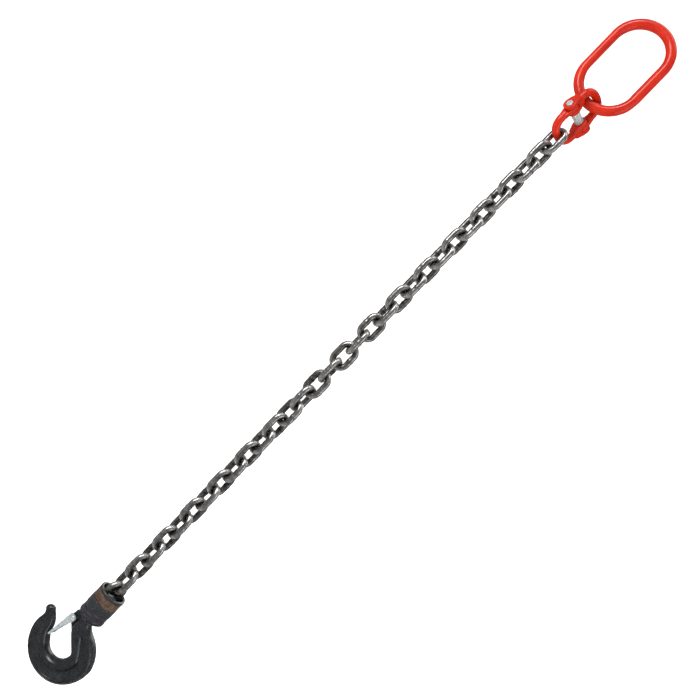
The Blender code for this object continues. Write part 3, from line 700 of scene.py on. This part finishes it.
def coupling_half_mesh():
    """One forging: crown below, tongue at -X and fork at +X, its pin hole along X at the origin."""
    leg_x = (LUG_INNER_X + LUG_OUTER_X) / 2
    tongue = TONGUE_THICKNESS / 2
    tongue_block = lug_block(-leg_x - tongue, -leg_x + tongue)
    half = joined(coupling_crown(leg_x), tongue_block, fork_block(leg_x))
    half = applied(half, ("REMESH", {"mode": "VOXEL", "voxel_size": 0.55 * MM}))
    slot_half = tongue + 0.3 * MM
    slot_radius = LUG_RADIUS + 0.9 * MM
    half = cut(half, rod([(slot_radius, leg_x - slot_half), (slot_radius, leg_x + slot_half)], 64))
    reach = LUG_OUTER_X + 2 * MM
    half = cut(half, rod([(COUPLING_HOLE_RADIUS, -reach), (COUPLING_HOLE_RADIUS, reach)], 48))
    return forged(half, voxel=0.5 * MM, rounds=5)


def make_coupling(frame, paint, plating):
    """Both halves, the same forging turned over, and their load pin with its ridged bush."""
    place, yaw = joint_named(frame, "coupling_halves")
    upright = Matrix.Translation(place) @ Matrix.Rotation(yaw, 4, "Z")
    turned_over = upright @ Matrix.Rotation(math.pi, 4, "Y")
    shape = coupling_half_mesh()
    for end, matrix in (("lower", upright), ("upper", turned_over)):
        mesh = moved(shape.copy(), matrix)
        body, node = "coupling_" + end, "coupling_half_" + end
        piece(body + "_forging", mesh, body, paint, [node])
    bpy.data.meshes.remove(shape)
    reach = LUG_OUTER_X + 0.8 * MM
    pin = moved(pin_rod(COUPLING_PIN_RADIUS, reach, 0.8 * MM, 48), upright)
    piece("coupling_load_pin", pin, "coupling_upper", plating, ["coupling_pin"])
    bush = moved(bush_mesh(), upright)
    piece("coupling_ridged_bush", bush, "coupling_upper", plating, ["coupling_bush"])


def bush_mesh():
    """A sleeve with rounded ridges along it, its ends bevelled, round the pin."""
    half = LUG_INNER_X - 0.3 * MM
    bevel = 0.7 * MM
    sides = BUSH_RIDGES * 8
    stops = [(COUPLING_HOLE_RADIUS, -half, 0.0), (BUSH_RADIUS - bevel, -half, 0.0)]
    stops.append((BUSH_RADIUS, -half + bevel, 1.0))
    stops += [(radius, -x, ridged) for radius, x, ridged in reversed(stops)]
    rings = []
    for radius, x, ridged in stops:
        ring = []
        for i in range(sides):
            angle = 2 * math.pi * i / sides
            wave = abs(math.sin(BUSH_RIDGES * angle / 2)) ** 0.6
            r = radius - ridged * BUSH_RIDGE_HEIGHT * (1 - wave)
            ring.append(Vector((x, r * math.cos(angle), r * math.sin(angle))))
        rings.append(ring)
    return skin(rings, closed=True)


def link_mesh():
    """One welded link, its origin where it bears on the link above, with each point's share of
    polish and painted highlight, and of painted shade and darker weld.
    """
    arc_steps, side_steps, sides = 22, 16, 22
    half = CHAIN_BAR / 2
    lift = Vector((0, 0, PIVOT_BELOW_CROWN))
    middle = -LINK_LENGTH / 2
    rings, polish_and_highlight, hollow_shade_and_dark_weld = [], [], []
    for centre, direction in oval_path(LINK_WIDTH, LINK_LENGTH, arc_steps, side_steps):
        on_leg = smooth_step(abs(direction.x) * 4 - 3)
        from_weld = abs(centre.z - middle)
        weld = smooth_step(1 - from_weld / WELD_HALF) * on_leg * (direction.x < 0)
        radius = half + weld * WELD_RISE
        rings.append(bar_ring(centre + lift, direction, radius, radius, sides))
        for i in range(sides):
            inward = -math.cos(2 * math.pi * i / sides)
            crown = 1 - on_leg
            # Outer side of the bar: polish and a painted highlight, most on the crowns. Inner side,
            # in the link's hollow: painted shade, plus a darker weld
            polish_and_highlight.append(max(0.0, -inward) ** 0.7 * (0.45 + 0.55 * crown))
            hollow_shade_and_dark_weld.append(smooth_step(inward * 1.5 - 0.2) * (0.5 + 0.5 * crown) + 0.5 * weld)
    mesh = skin(rings, closed=True)
    set_attribute(mesh, "polish_and_highlight", polish_and_highlight)
    set_attribute(mesh, "hollow_shade_and_dark_weld", hollow_shade_and_dark_weld)
    return mesh


def make_chain(frame, material):
    """All the links, each where its swing joint is, its plane square to the joint's axis."""
    shape = link_mesh()
    names = sorted(name for name in frame["nodes"] if name.startswith("link_"))
    for name in names:
        place, axis_yaw = joint_named(frame, name + "_swing")
        turn = Matrix.Rotation(axis_yaw - math.pi / 2, 4, "Z")
        mesh = moved(shape.copy(), Matrix.Translation(place) @ turn)
        piece("chain_" + name, mesh, name, material, [name])
    bpy.data.meshes.remove(shape)


def barrel_mesh():
    """The cup with its grooves, rounded rim and bevelled skirt, and the level of its rim."""
    low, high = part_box("barrel_body")
    height = high.z - low.z
    corners = [  # radius and level from the rim, and the corner's rounding in mm
        (BORE_RADIUS + 1.3 * MM, 0, 0.8),
        (BARREL_RADIUS, 0, 1.8),
        (BARREL_RADIUS, -UPPER_GROOVE[0], 0.5),
        (UPPER_GROOVE_RADIUS, -UPPER_GROOVE[0], 0.3),
        (UPPER_GROOVE_RADIUS, -UPPER_GROOVE[1], 0.3),
        (BARREL_RADIUS, -UPPER_GROOVE[1], 0.5),
        (BARREL_RADIUS, -LOWER_GROOVE[0], 0.5),
        (LOWER_GROOVE_RADIUS, -LOWER_GROOVE[0], 0.2),
        (LOWER_GROOVE_RADIUS, -LOWER_GROOVE[1], 0.2),
        (BARREL_RADIUS, -LOWER_GROOVE[1], 0.5),
        (BARREL_RADIUS, -height + 3.0 * MM, 1.4),
        (BARREL_RADIUS - 3.0 * MM, -height, 0.9),
        (SHANK_HOLE_RADIUS, -height, 0.5),
        (SHANK_HOLE_RADIUS, -height + BARREL_FLOOR, 0.5),
        (BORE_RADIUS, -height + BARREL_FLOOR, 1.0),
        (BORE_RADIUS, -2.0 * MM, 0.6),
    ]
    sharp = [(radius, level) for radius, level, _ in corners]
    arc = CORNER_STEPS + 1
    profile = []
    for i, (_, _, rounding) in enumerate(corners):
        three = [sharp[i - 1], sharp[i], sharp[(i + 1) % len(sharp)]]
        profile += rounded(three, rounding * MM)[arc : 2 * arc]  # only the middle one's arc
    mesh = turned(profile, 120)
    moved(mesh, Matrix.Translation((0, 0, high.z)))
    return mesh, high.z


def make_barrel(frame, black, tinted, violet, bright):
    """The cup, whose lower groove is violet, and the pieces that are fixed in it."""
    mesh, rim = barrel_mesh()
    piece("barrel_cup", mesh, "barrel", black, ["barrel_body"])
    mesh.materials.append(violet)
    for polygon in mesh.polygons:
        below = rim - polygon.center.z
        outside = Vector(polygon.center[:2]).length > BORE_RADIUS + 2 * MM
        polygon.material_index = int(LOWER_GROOVE[0] < below < LOWER_GROOVE[1] and outside)
    make_band(tinted)
    make_cross_pin(frame, bright)
    race = race_mesh(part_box("bearing_race_lower"), 9.0 * MM, True)
    piece("barrel_lower_race", race, "barrel", bright, ["bearing_race_lower"])


def make_band(tinted):
    """The spring band in the upper groove, split at the back."""
    low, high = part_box("pin_cover_band")
    inner = UPPER_GROOVE_RADIUS + 0.3 * MM
    outline = [(inner, low.z), (BAND_RADIUS, low.z), (BAND_RADIUS, high.z), (inner, high.z)]
    split = BAND_SPLIT / BAND_RADIUS
    start = math.pi / 2 + split / 2
    band = turned(rounded(outline, 0.45 * MM), 140, start, 2 * math.pi - split)
    piece("barrel_band", band, "barrel", tinted, ["pin_cover_band"])


def make_cross_pin(frame, bright):
    """The pin across the cup that the last link hangs on, along its swing's axis."""
    low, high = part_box("chain_pin")
    pin_yaw = joint_named(frame, "barrel_swing")[1]
    place = Matrix.Translation((low + high) / 2) @ Matrix.Rotation(pin_yaw, 4, "Z")
    pin = pin_rod(CHAIN_PIN_RADIUS, UPPER_GROOVE_RADIUS - 1.0 * MM, 0.8 * MM, 40)
    moved(pin, place)
    piece("barrel_cross_pin", pin, "barrel", bright, ["chain_pin"])


def race_mesh(box, bore, facing_up):
    """A bearing washer, its edges bevelled, with the balls' groove rolled into one face."""
    bevel = 0.3 * MM
    plain, grooved = (box[0].z, box[1].z) if facing_up else (box[1].z, box[0].z)
    into = math.copysign(1.0, plain - grooved)  # from the grooved face into the washer
    profile = [(bore, plain - into * bevel), (bore + bevel, plain), (RACE_RADIUS - bevel, plain)]
    profile += [(RACE_RADIUS, plain - into * bevel), (RACE_RADIUS, grooved + into * bevel)]
    profile.append((RACE_RADIUS - bevel, grooved))
    for across, depth in ((1.4, 0), (0.7, 0.35), (0, 0.45), (-0.7, 0.35), (-1.4, 0)):
        profile.append((BALL_CIRCLE_RADIUS + across * MM, grooved + into * depth * MM))
    profile += [(bore + bevel, grooved), (bore, grooved + into * bevel)]
    return turned(profile, 72)


def make_bearing(bright):
    """The cage with its balls, on its own body."""
    low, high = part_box("bearing_cage")
    level = (low.z + high.z) / 2
    half = CAGE_HALF_THICKNESS
    inner, outer = 9.6 * MM, 15.4 * MM
    outline = [(inner, -half), (outer, -half), (outer, half), (inner, half)]
    cage = turned(rounded(outline, 0.3 * MM), 72)
    bm = bmesh.new()
    bm.from_mesh(cage)
    bpy.data.meshes.remove(cage)
    for i in range(BALL_COUNT):
        angle = 2 * math.pi * (i + 0.37) / BALL_COUNT
        place = Vector((math.cos(angle), math.sin(angle), 0)) * BALL_CIRCLE_RADIUS
        at = Matrix.Translation(place)
        bmesh.ops.create_uvsphere(bm, u_segments=24, v_segments=16, radius=BALL_RADIUS, matrix=at)
    mesh = bpy.data.meshes.new("cage")
    bm.to_mesh(mesh)
    bm.free()
    moved(mesh, Matrix.Translation((0, 0, level)))
    piece("bearing_cage_and_balls", mesh, "bearing_cage", bright, ["bearing_cage"])


# A section of the hook runs across from -1 at the bowl to 1 at the back
BEAD_MIDDLE, BEAD_REACH = -0.5, 0.5
POCKET_EDGE, POCKET_WALL = 0.82, 0.08  # where the pocket's outer wall ends, and its width
RIM_EDGE = 0.86  # where the outer rim begins to round over

# Inner and outer point (mm from the barrel's bottom), shares of flange and pocket, thickness
HOOK_STATIONS = [
    ((-10.9, -6.4), (10.9, -6.4), 0.0, 0.0, 0.95),
    ((-10.9, -11.2), (12.6, -10.2), 0.0, 0.0, 0.96),
    ((-11.0, -19.6), (20.0, -15.2), 0.15, 0.0, 0.98),
    ((-10.4, -27.4), (31.0, -20.4), 0.6, 0.3, 1.0),
    ((-6.6, -34.4), (41.2, -27.4), 0.9, 0.9, 1.0),
    ((-0.2, -40.4), (48.6, -35.2), 1.0, 1.0, 1.0),
    ((6.8, -46.4), (53.9, -42.8), 1.0, 1.0, 1.0),
    ((13.0, -51.4), (57.0, -50.0), 1.0, 1.0, 1.0),
    ((17.2, -55.2), (58.5, -54.4), 1.0, 1.0, 1.0),
]
BEND_STEPS = 12
BEND_FROM, BEND_SWEEP = 2.0, 148.8  # degrees, clockwise round the bowl
TIP_STATIONS = [
    ((-26.6, -68.6), (-53.6, -80.6), 0.95, 0.0, 0.98),
    ((-29.2, -64.2), (-56.7, -71.4), 0.85, 0.0, 0.94),
    ((-30.9, -58.8), (-57.6, -63.0), 0.75, 0.0, 0.90),
    ((-32.8, -52.6), (-56.9, -55.6), 0.55, 0.0, 0.84),
    ((-36.6, -46.6), (-56.8, -50.0), 0.3, 0.0, 0.76),
    ((-41.6, -41.4), (-59.0, -46.2), 0.1, 0.0, 0.68),
    ((-46.8, -37.0), (-62.0, -43.2), 0.0, 0.0, 0.60),
]


def station_rows(stations):
    """Given sections as rows of numbers in metres."""
    return [(*Vector(inner) * MM, *Vector(outer) * MM, *rest) for inner, outer, *rest in stations]


def hook_stations():
    """Sections from the neck round the bowl to the tip, as rows of numbers in metres."""
    rows = station_rows(HOOK_STATIONS)
    for step in range(BEND_STEPS + 1):
        angle = math.radians(BEND_FROM - BEND_SWEEP * step / BEND_STEPS)
        ray = Vector((math.cos(angle), math.sin(angle)))
        pocket = smooth_step(1.0 - (step - 6) / 4)  # runs out under the bowl
        inner = BOWL_CENTRE + BOWL_RADIUS * ray
        outer = BACK_CENTRE + Vector((BACK_HALF_WIDTH * ray.x, BACK_HALF_HEIGHT * ray.y))
        rows.append((*inner, *outer, 1.0, pocket, 1.0))
    return np.array(rows + station_rows(TIP_STATIONS))


def flowing(rows, steps):
    """More rows along a smooth curve through the given ones (a Catmull-Rom spline)."""
    padded = np.vstack([2 * rows[0] - rows[1], rows, 2 * rows[-1] - rows[-2]])
    made = []
    for k in range(1, len(padded) - 2):
        a, b, c, d = padded[k - 1 : k + 3]
        slope, bend, twist = c - a, 2 * a - 5 * b + 4 * c - d, 3 * b - a - 3 * c + d
        for i in range(steps):
            t = i / steps
            made.append(0.5 * (2 * b + slope * t + bend * t * t + twist * t**3))
    made.append(padded[-2])
    return made


def hook_half_thickness(across, flange, pocket, scale):
    """Half thickness at a place across a section: round, or bead, web and rim by flange."""
    round_half = math.sqrt(max(0.0, 1 - across * across))
    bead = 0.0
    if across < 0:
        bead = math.sqrt(max(0.0, 1 - ((across - BEAD_MIDDLE) / BEAD_REACH) ** 2))
    rim = math.sqrt(max(0.0, 1 - max(0.0, (across - RIM_EDGE) / (1 - RIM_EDGE)) ** 2))
    in_pocket = pocket * smooth_step((POCKET_EDGE - across) / POCKET_WALL)
    web = FLANGE_HALF + (POCKET_HALF - FLANGE_HALF) * in_pocket
    made = max(BEAD_HALF * bead, web * rim * smooth_step((across + 1.0) / 0.5))
    return scale * ((1 - flange) * BEAD_HALF * round_half + flange * made)


def across_places():
    """Places across a hook section, closer together at the bowl, the bead's edge and the rim."""
    nose = [BEAD_MIDDLE - BEAD_REACH * math.cos(math.radians(90 * i / 12)) for i in range(13)]
    fall = [BEAD_MIDDLE + BEAD_REACH * math.sin(math.radians(90 * i / 16)) for i in range(1, 17)]
    web = [0.05 + 0.65 * i / 8 for i in range(9)]
    wall = [0.72 + (RIM_EDGE - 0.72) * i / 10 for i in range(11)]
    rim = [RIM_EDGE + (1 - RIM_EDGE) * math.sin(math.radians(90 * i / 8)) for i in range(1, 9)]
    return nose + fall + web + wall + rim


def hook_ring(row, places):
    """The ring of points round one section of the hook."""
    inner, outer = Vector(row[0:2]), Vector(row[2:4])
    flange, pocket, scale = (float(v) for v in row[4:7])
    flange, pocket = min(1.0, max(0.0, flange)), min(1.0, max(0.0, pocket))
    middle, half = (inner + outer) / 2, (outer - inner) / 2
    front = []
    for across in places:
        spot = middle + half * across
        depth = hook_half_thickness(across, flange, pocket, scale)
        front.append(Vector((spot.x, -depth, spot.y)))
    back = [Vector((p.x, -p.y, p.z)) for p in reversed(front[1:-1])]
    return front + back


def tip_rings(row, places):
    """Closes the tip in a round end beyond its last section."""
    inner, outer = Vector(row[0:2]), Vector(row[2:4])
    middle = (inner + outer) / 2
    ahead = Vector((inner.y - outer.y, outer.x - inner.x)).normalized()
    if ahead.y < 0:
        ahead = -ahead
    reach = (outer - inner).length * 0.42
    steps = 6
    rings = []
    for k in range(1, steps + 1):
        angle = math.radians(88 * k / steps)  # at 90 the last ring would be a point
        shift = ahead * reach * math.sin(angle)
        shrink = math.cos(angle)
        small = row.copy()
        small[0:2] = middle + (inner - middle) * shrink + shift
        small[2:4] = middle + (outer - middle) * shrink + shift
        small[6] = row[6] * shrink
        rings.append(hook_ring(small, places))
    return rings


def hook_shank(top):
    """The turned shank, collar and neck."""
    core = 0.02 * MM  # the profile stays off the axis by this much
    shoulder = 0.8 * MM
    collar_edge = 0.9 * MM
    profile = [(core, top), (SHANK_RADIUS - shoulder, top), (SHANK_RADIUS, top - shoulder)]
    profile += [(SHANK_RADIUS, -NECK_GAP + 0.2 * MM), (COLLAR_RADIUS - collar_edge, -NECK_GAP)]
    profile += [(COLLAR_RADIUS, -NECK_GAP - collar_edge), (COLLAR_RADIUS, -NECK_GAP - 2.2 * MM)]
    profile += [(NECK_RADIUS, -NECK_GAP - 3.6 * MM), (NECK_RADIUS, -NECK_FOOT), (core, -NECK_FOOT)]
    return turned(profile, 64)


def hook_lug():
    """The flat ear on the throat side that the latch is riveted to."""
    ear = [(-4, -4.6), (-19.8, -4.9), (-21.8, -6.8), (-22.4, -12), (-23.4, -18.6), (-22.8, -23)]
    ear += [(-20.6, -26), (-17.2, -27.2), (-13.6, -29), (-10.2, -31.8), (-5, -36), (-4, -30)]
    outline = rounded([(x * MM, z * MM) for x, z in ear], 1.2 * MM)
    return plate(outline, -HOOK_LUG_HALF, HOOK_LUG_HALF)


def make_hook(material):
    """Shank, collar, bowl, back and tip in one forging, with the latch's lug on the throat side."""
    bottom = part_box("barrel_body")[0].z
    shank_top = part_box("hook_body")[1].z - bottom
    places = across_places()
    rows = flowing(hook_stations(), 6)
    body = skin([hook_ring(row, places) for row in rows] + tip_rings(rows[-1], places))
    hook = forged(joined(body, hook_shank(shank_top), hook_lug()), voxel=0.5 * MM, rounds=3)
    moved(hook, Matrix.Translation((0, 0, bottom)))
    piece("hook_forging", hook, "hook", material, ["hook_body"])


def make_nut(bright, plating):
    """The slotted round nut on the shank, its lock pin and the race under it."""
    low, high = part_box("shank_nut")
    height = high.z - low.z
    outer = high.x
    inner = SHANK_RADIUS + 0.3 * MM
    outline = [(inner, 0), (outer, 0), (outer, height), (inner, height)]
    mesh = turned(rounded(outline, 0.9 * MM), 96)
    to_rim = Matrix.Translation((outer, 0, height))
    for i in range(4):
        turn = Matrix.Rotation(math.radians(45 + 90 * i), 4, "Z")
        slot = box_mesh(5 * MM, 3.4 * MM, 3 * MM)
        slot = applied(slot, ("BEVEL", {"width": 0.3 * MM, "segments": 2}))
        mesh = cut(mesh, moved(slot, turn @ to_rim))
    moved(mesh, Matrix.Translation((0, 0, low.z)))
    piece("hook_shank_nut", mesh, "hook", bright, ["shank_nut"])
    low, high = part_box("nut_lock_pin")
    pin = pin_rod((high.z - low.z) / 2, (high.x - low.x) / 2, 0.4 * MM, 24)
    moved(pin, Matrix.Translation((low + high) / 2))
    piece("hook_nut_lock_pin", pin, "hook", plating, ["nut_lock_pin"])
    race = race_mesh(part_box("bearing_race_upper"), 8.6 * MM, False)
    piece("hook_upper_race", race, "hook", bright, ["bearing_race_upper"])


def box_mesh(x, y, z):
    """A box about the origin, for cutting."""
    bm = bmesh.new()
    bmesh.ops.create_cube(bm, size=1.0, matrix=Matrix.Diagonal((x, y, z, 1)))
    mesh = bpy.data.meshes.new("box")
    bm.to_mesh(mesh)
    bm.free()
    return mesh


def latch_place(frame):
    """The matrix that brings a mesh from the origin to the latch's hinge."""
    place, _ = joint_named(frame, "latch_hinge")
    return Matrix.Translation(place)


def make_latch(frame, plating):
    """A pressed channel: two cheeks that straddle the lug and a web towards the hook's mouth."""
    cheek = [(-7.4, 4.4), (-5.6, 5.8), (1.2, 6.0), (4.4, 3.6), (5.2, 0.0), (4.4, -5.0)]
    cheek += [(2.4, -9.6), (0.2, -15.5), (-1.6, -26.0), (-3.2, -36.0), (-3.9, -43.4)]
    cheek += [(-4.6, -46.0), (-6.8, -46.2), (-7.4, -42.0), (-7.4, -8.0)]
    outline = rounded([(x * MM, z * MM) for x, z in cheek], 1.0 * MM)
    shell = plate(outline, -LATCH_HALF_WIDTH, LATCH_HALF_WIDTH)
    inside = LATCH_HALF_WIDTH - LATCH_SHEET
    hollow = [(-6.1, 9.0), (-6.1, -43.0), (9.0, -43.0), (9.0, 9.0)]  # between the cheeks
    mouth = [(-9.0, 9.0), (-9.0, -6.5), (-5.6, -6.5), (-5.6, 9.0)]  # of the web, above the lug
    for opening in (hollow, mouth):
        shell = cut(shell, plate([(x * MM, z * MM) for x, z in opening], -inside, inside))
    shell = forged(shell, voxel=0.3 * MM, rounds=1)
    moved(shell, latch_place(frame) @ Matrix.Rotation(LATCH_LEAN, 4, "Y"))
    piece("latch_pressing", shell, "latch", plating, ["latch"])


def make_rivet(frame, plating):
    """A rivet with two domed heads through the cheeks and the lug."""
    low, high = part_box("latch_rivet")
    reach = (high.y - low.y) / 2
    seat = LATCH_HALF_WIDTH + 0.3 * MM
    head = (high.x - low.x) / 2
    half = [(RIVET_RADIUS, seat)]
    for degrees in range(0, 86, 12):
        angle = math.radians(degrees)
        half.append((head * math.cos(angle), seat + (reach - seat) * math.sin(angle)))
    stops = [(r, -y) for r, y in reversed(half)] + half
    mesh = moved(rod(stops, 40, "Y"), latch_place(frame))
    piece("latch_domed_rivet", mesh, "hook", plating, ["latch_rivet"])


def make_spring(frame, bright):
    """A double torsion spring: two coils round the rivet, joined by a bridge behind the web."""
    clearance = 0.9 * MM  # from the wire's centre to the lug and to the cheeks
    inner_y = HOOK_LUG_HALF + clearance
    outer_y = LATCH_HALF_WIDTH - LATCH_SHEET - clearance
    per_turn = 28
    steps = int(per_turn * SPRING_TURNS)
    side = [Vector((SPRING_COIL_RADIUS + 0.2 * MM, outer_y, 7.0 * MM))]
    for i in range(steps + 1):
        angle = -2 * math.pi * i / per_turn
        x, z = SPRING_COIL_RADIUS * math.cos(angle), SPRING_COIL_RADIUS * math.sin(angle)
        side.append(Vector((x, outer_y + (inner_y - outer_y) * i / steps, z)))
    side.append(Vector((-5.6 * MM, inner_y, -13.5 * MM)))
    route = side + [Vector((p.x, -p.y, p.z)) for p in reversed(side)]
    curve = bpy.data.curves.new("spring", "CURVE")
    curve.dimensions = "3D"
    curve.bevel_depth = SPRING_WIRE_RADIUS
    curve.bevel_resolution = 3
    curve.use_fill_caps = True
    spline = curve.splines.new("POLY")
    spline.points.add(len(route) - 1)
    for vertex, point in zip(spline.points, route):
        vertex.co = (*point, 1)
    mesh = moved(realised(placed("spring", curve)), latch_place(frame))
    piece("latch_torsion_spring", mesh, "hook", bright, ["latch_spring"])


# ----------------------------------------------------------------------------- stage, light, camera


def make_stage(low):
    """A pale round floor under the sling that curves up into a wall all round."""
    floor_z = low.z - STAGE_DROP
    profile = [(0.001, 0.0), (STAGE_FLAT * 0.5, 0.0), (STAGE_FLAT, 0.0)]
    cove_steps = 24
    for k in range(1, cove_steps + 1):
        angle = math.radians(90 * k / cove_steps)
        reach, rise = STAGE_CURVE * math.sin(angle), STAGE_CURVE * (1 - math.cos(angle))
        profile.append((STAGE_FLAT + reach, rise))
    profile.append((STAGE_FLAT + STAGE_CURVE, STAGE_CURVE + STAGE_WALL))
    steps = 96
    points, faces = [], []
    for i in range(steps):
        angle = 2 * math.pi * i / steps
        points += [(r * math.cos(angle), r * math.sin(angle), floor_z + z) for r, z in profile]
    count = len(profile)
    for i in range(steps):
        j = (i + 1) % steps
        for k in range(count - 1):
            faces.append((i * count + k, j * count + k, j * count + k + 1, i * count + k + 1))
    mesh = bpy.data.meshes.new("stage")
    mesh.from_pydata(points, [], faces)
    mesh.materials.append(pale_floor())
    for polygon in mesh.polygons:
        polygon.use_smooth = True
    stage = placed("stage_floor", mesh)
    stage.visible_glossy = False


def area_light(name, place, aim, width, height, watts):
    """A soft white rectangular lamp, turned to the aim and hidden from the camera."""
    light = bpy.data.lights.new(name, "AREA")
    light.shape = "RECTANGLE"
    light.size = width
    light.size_y = height
    light.energy = watts
    lamp = placed(name, light)
    lamp.location = place
    lamp.rotation_mode = "QUATERNION"
    lamp.rotation_quaternion = (aim - place).to_track_quat("-Z", "Y")
    lamp.visible_camera = False


def camera_level():
    """Two level directions of the camera: to its right, and from the sling towards it."""
    cosine, sine = math.cos(CAMERA_AZIMUTH), math.sin(CAMERA_AZIMUTH)
    return Vector((cosine, sine, 0)), Vector((sine, -cosine, 0))


def make_lights():
    """Soft studio light: key from the upper left, fill from the right, one behind, one above."""
    right, towards = camera_level()
    aim = CAMERA_AIM
    area_light("key", aim - 1.7 * right + 1.5 * towards + 1.3 * UP, aim, 0.8, 2.2, 52)
    area_light("fill", aim + 2.2 * right + 1.3 * towards + 0.2 * UP, aim, 0.8, 2.4, 14)
    area_light("back", aim + 0.6 * right - 2.4 * towards + 1.0 * UP, aim, 2.0, 2.0, 25)
    area_light("top", Vector((0, 0, 3.4)), aim, 3.0, 3.0, 40)
    world = bpy.data.worlds.new("studio")
    world.use_nodes = True
    background = world.node_tree.nodes["Background"]
    background.inputs["Color"].default_value = (1, 1, 1, 1)
    background.inputs["Strength"].default_value = 0.26
    bpy.context.scene.world = world
    bpy.context.scene.view_settings.view_transform = "Standard"


def make_camera():
    """The camera, at the chain's middle and a little above, rolled to lay the sling diagonally."""
    right, level = camera_level()
    back = math.cos(CAMERA_ELEVATION) * level + math.sin(CAMERA_ELEVATION) * UP
    above = back.cross(right)
    cosine, sine = math.cos(CAMERA_ROLL), math.sin(CAMERA_ROLL)
    side = cosine * right + sine * above
    up = cosine * above - sine * right
    camera = bpy.data.cameras.new("camera")
    camera.lens = CAMERA_LENS
    camera.sensor_width = 36.0
    camera.clip_end = 50.0
    holder = placed("camera", camera)
    turn = Matrix((side, up, back)).transposed().to_4x4()
    holder.matrix_world = Matrix.Translation(CAMERA_AIM + back * CAMERA_DISTANCE) @ turn
    bpy.context.scene.camera = holder


def main():
    """Builds the sling's pieces, the stage, the light and the camera."""
    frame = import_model()
    cad_low, cad_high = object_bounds()
    paint, plating, steel = red_paint(), zinc(), chain_steel()
    black = black_forging()
    tinted = turned_steel("tinted_steel", "copper_tint", *COPPER_TINT)
    violet = turned_steel("black_forging", "violet_tint", *VIOLET_TINT)
    bright = turned_steel("bright_steel", "ground_steel", *GROUND_STEEL)
    make_master_link(paint)
    make_coupling(frame, paint, plating)
    make_chain(frame, steel)
    make_barrel(frame, black, tinted, violet, bright)
    make_bearing(bright)
    make_hook(black)
    make_nut(bright, plating)
    make_latch(frame, plating)
    make_rivet(frame, plating)
    make_spring(frame, bright)
    make_stage(cad_low)
    make_lights()
    make_camera()


main()
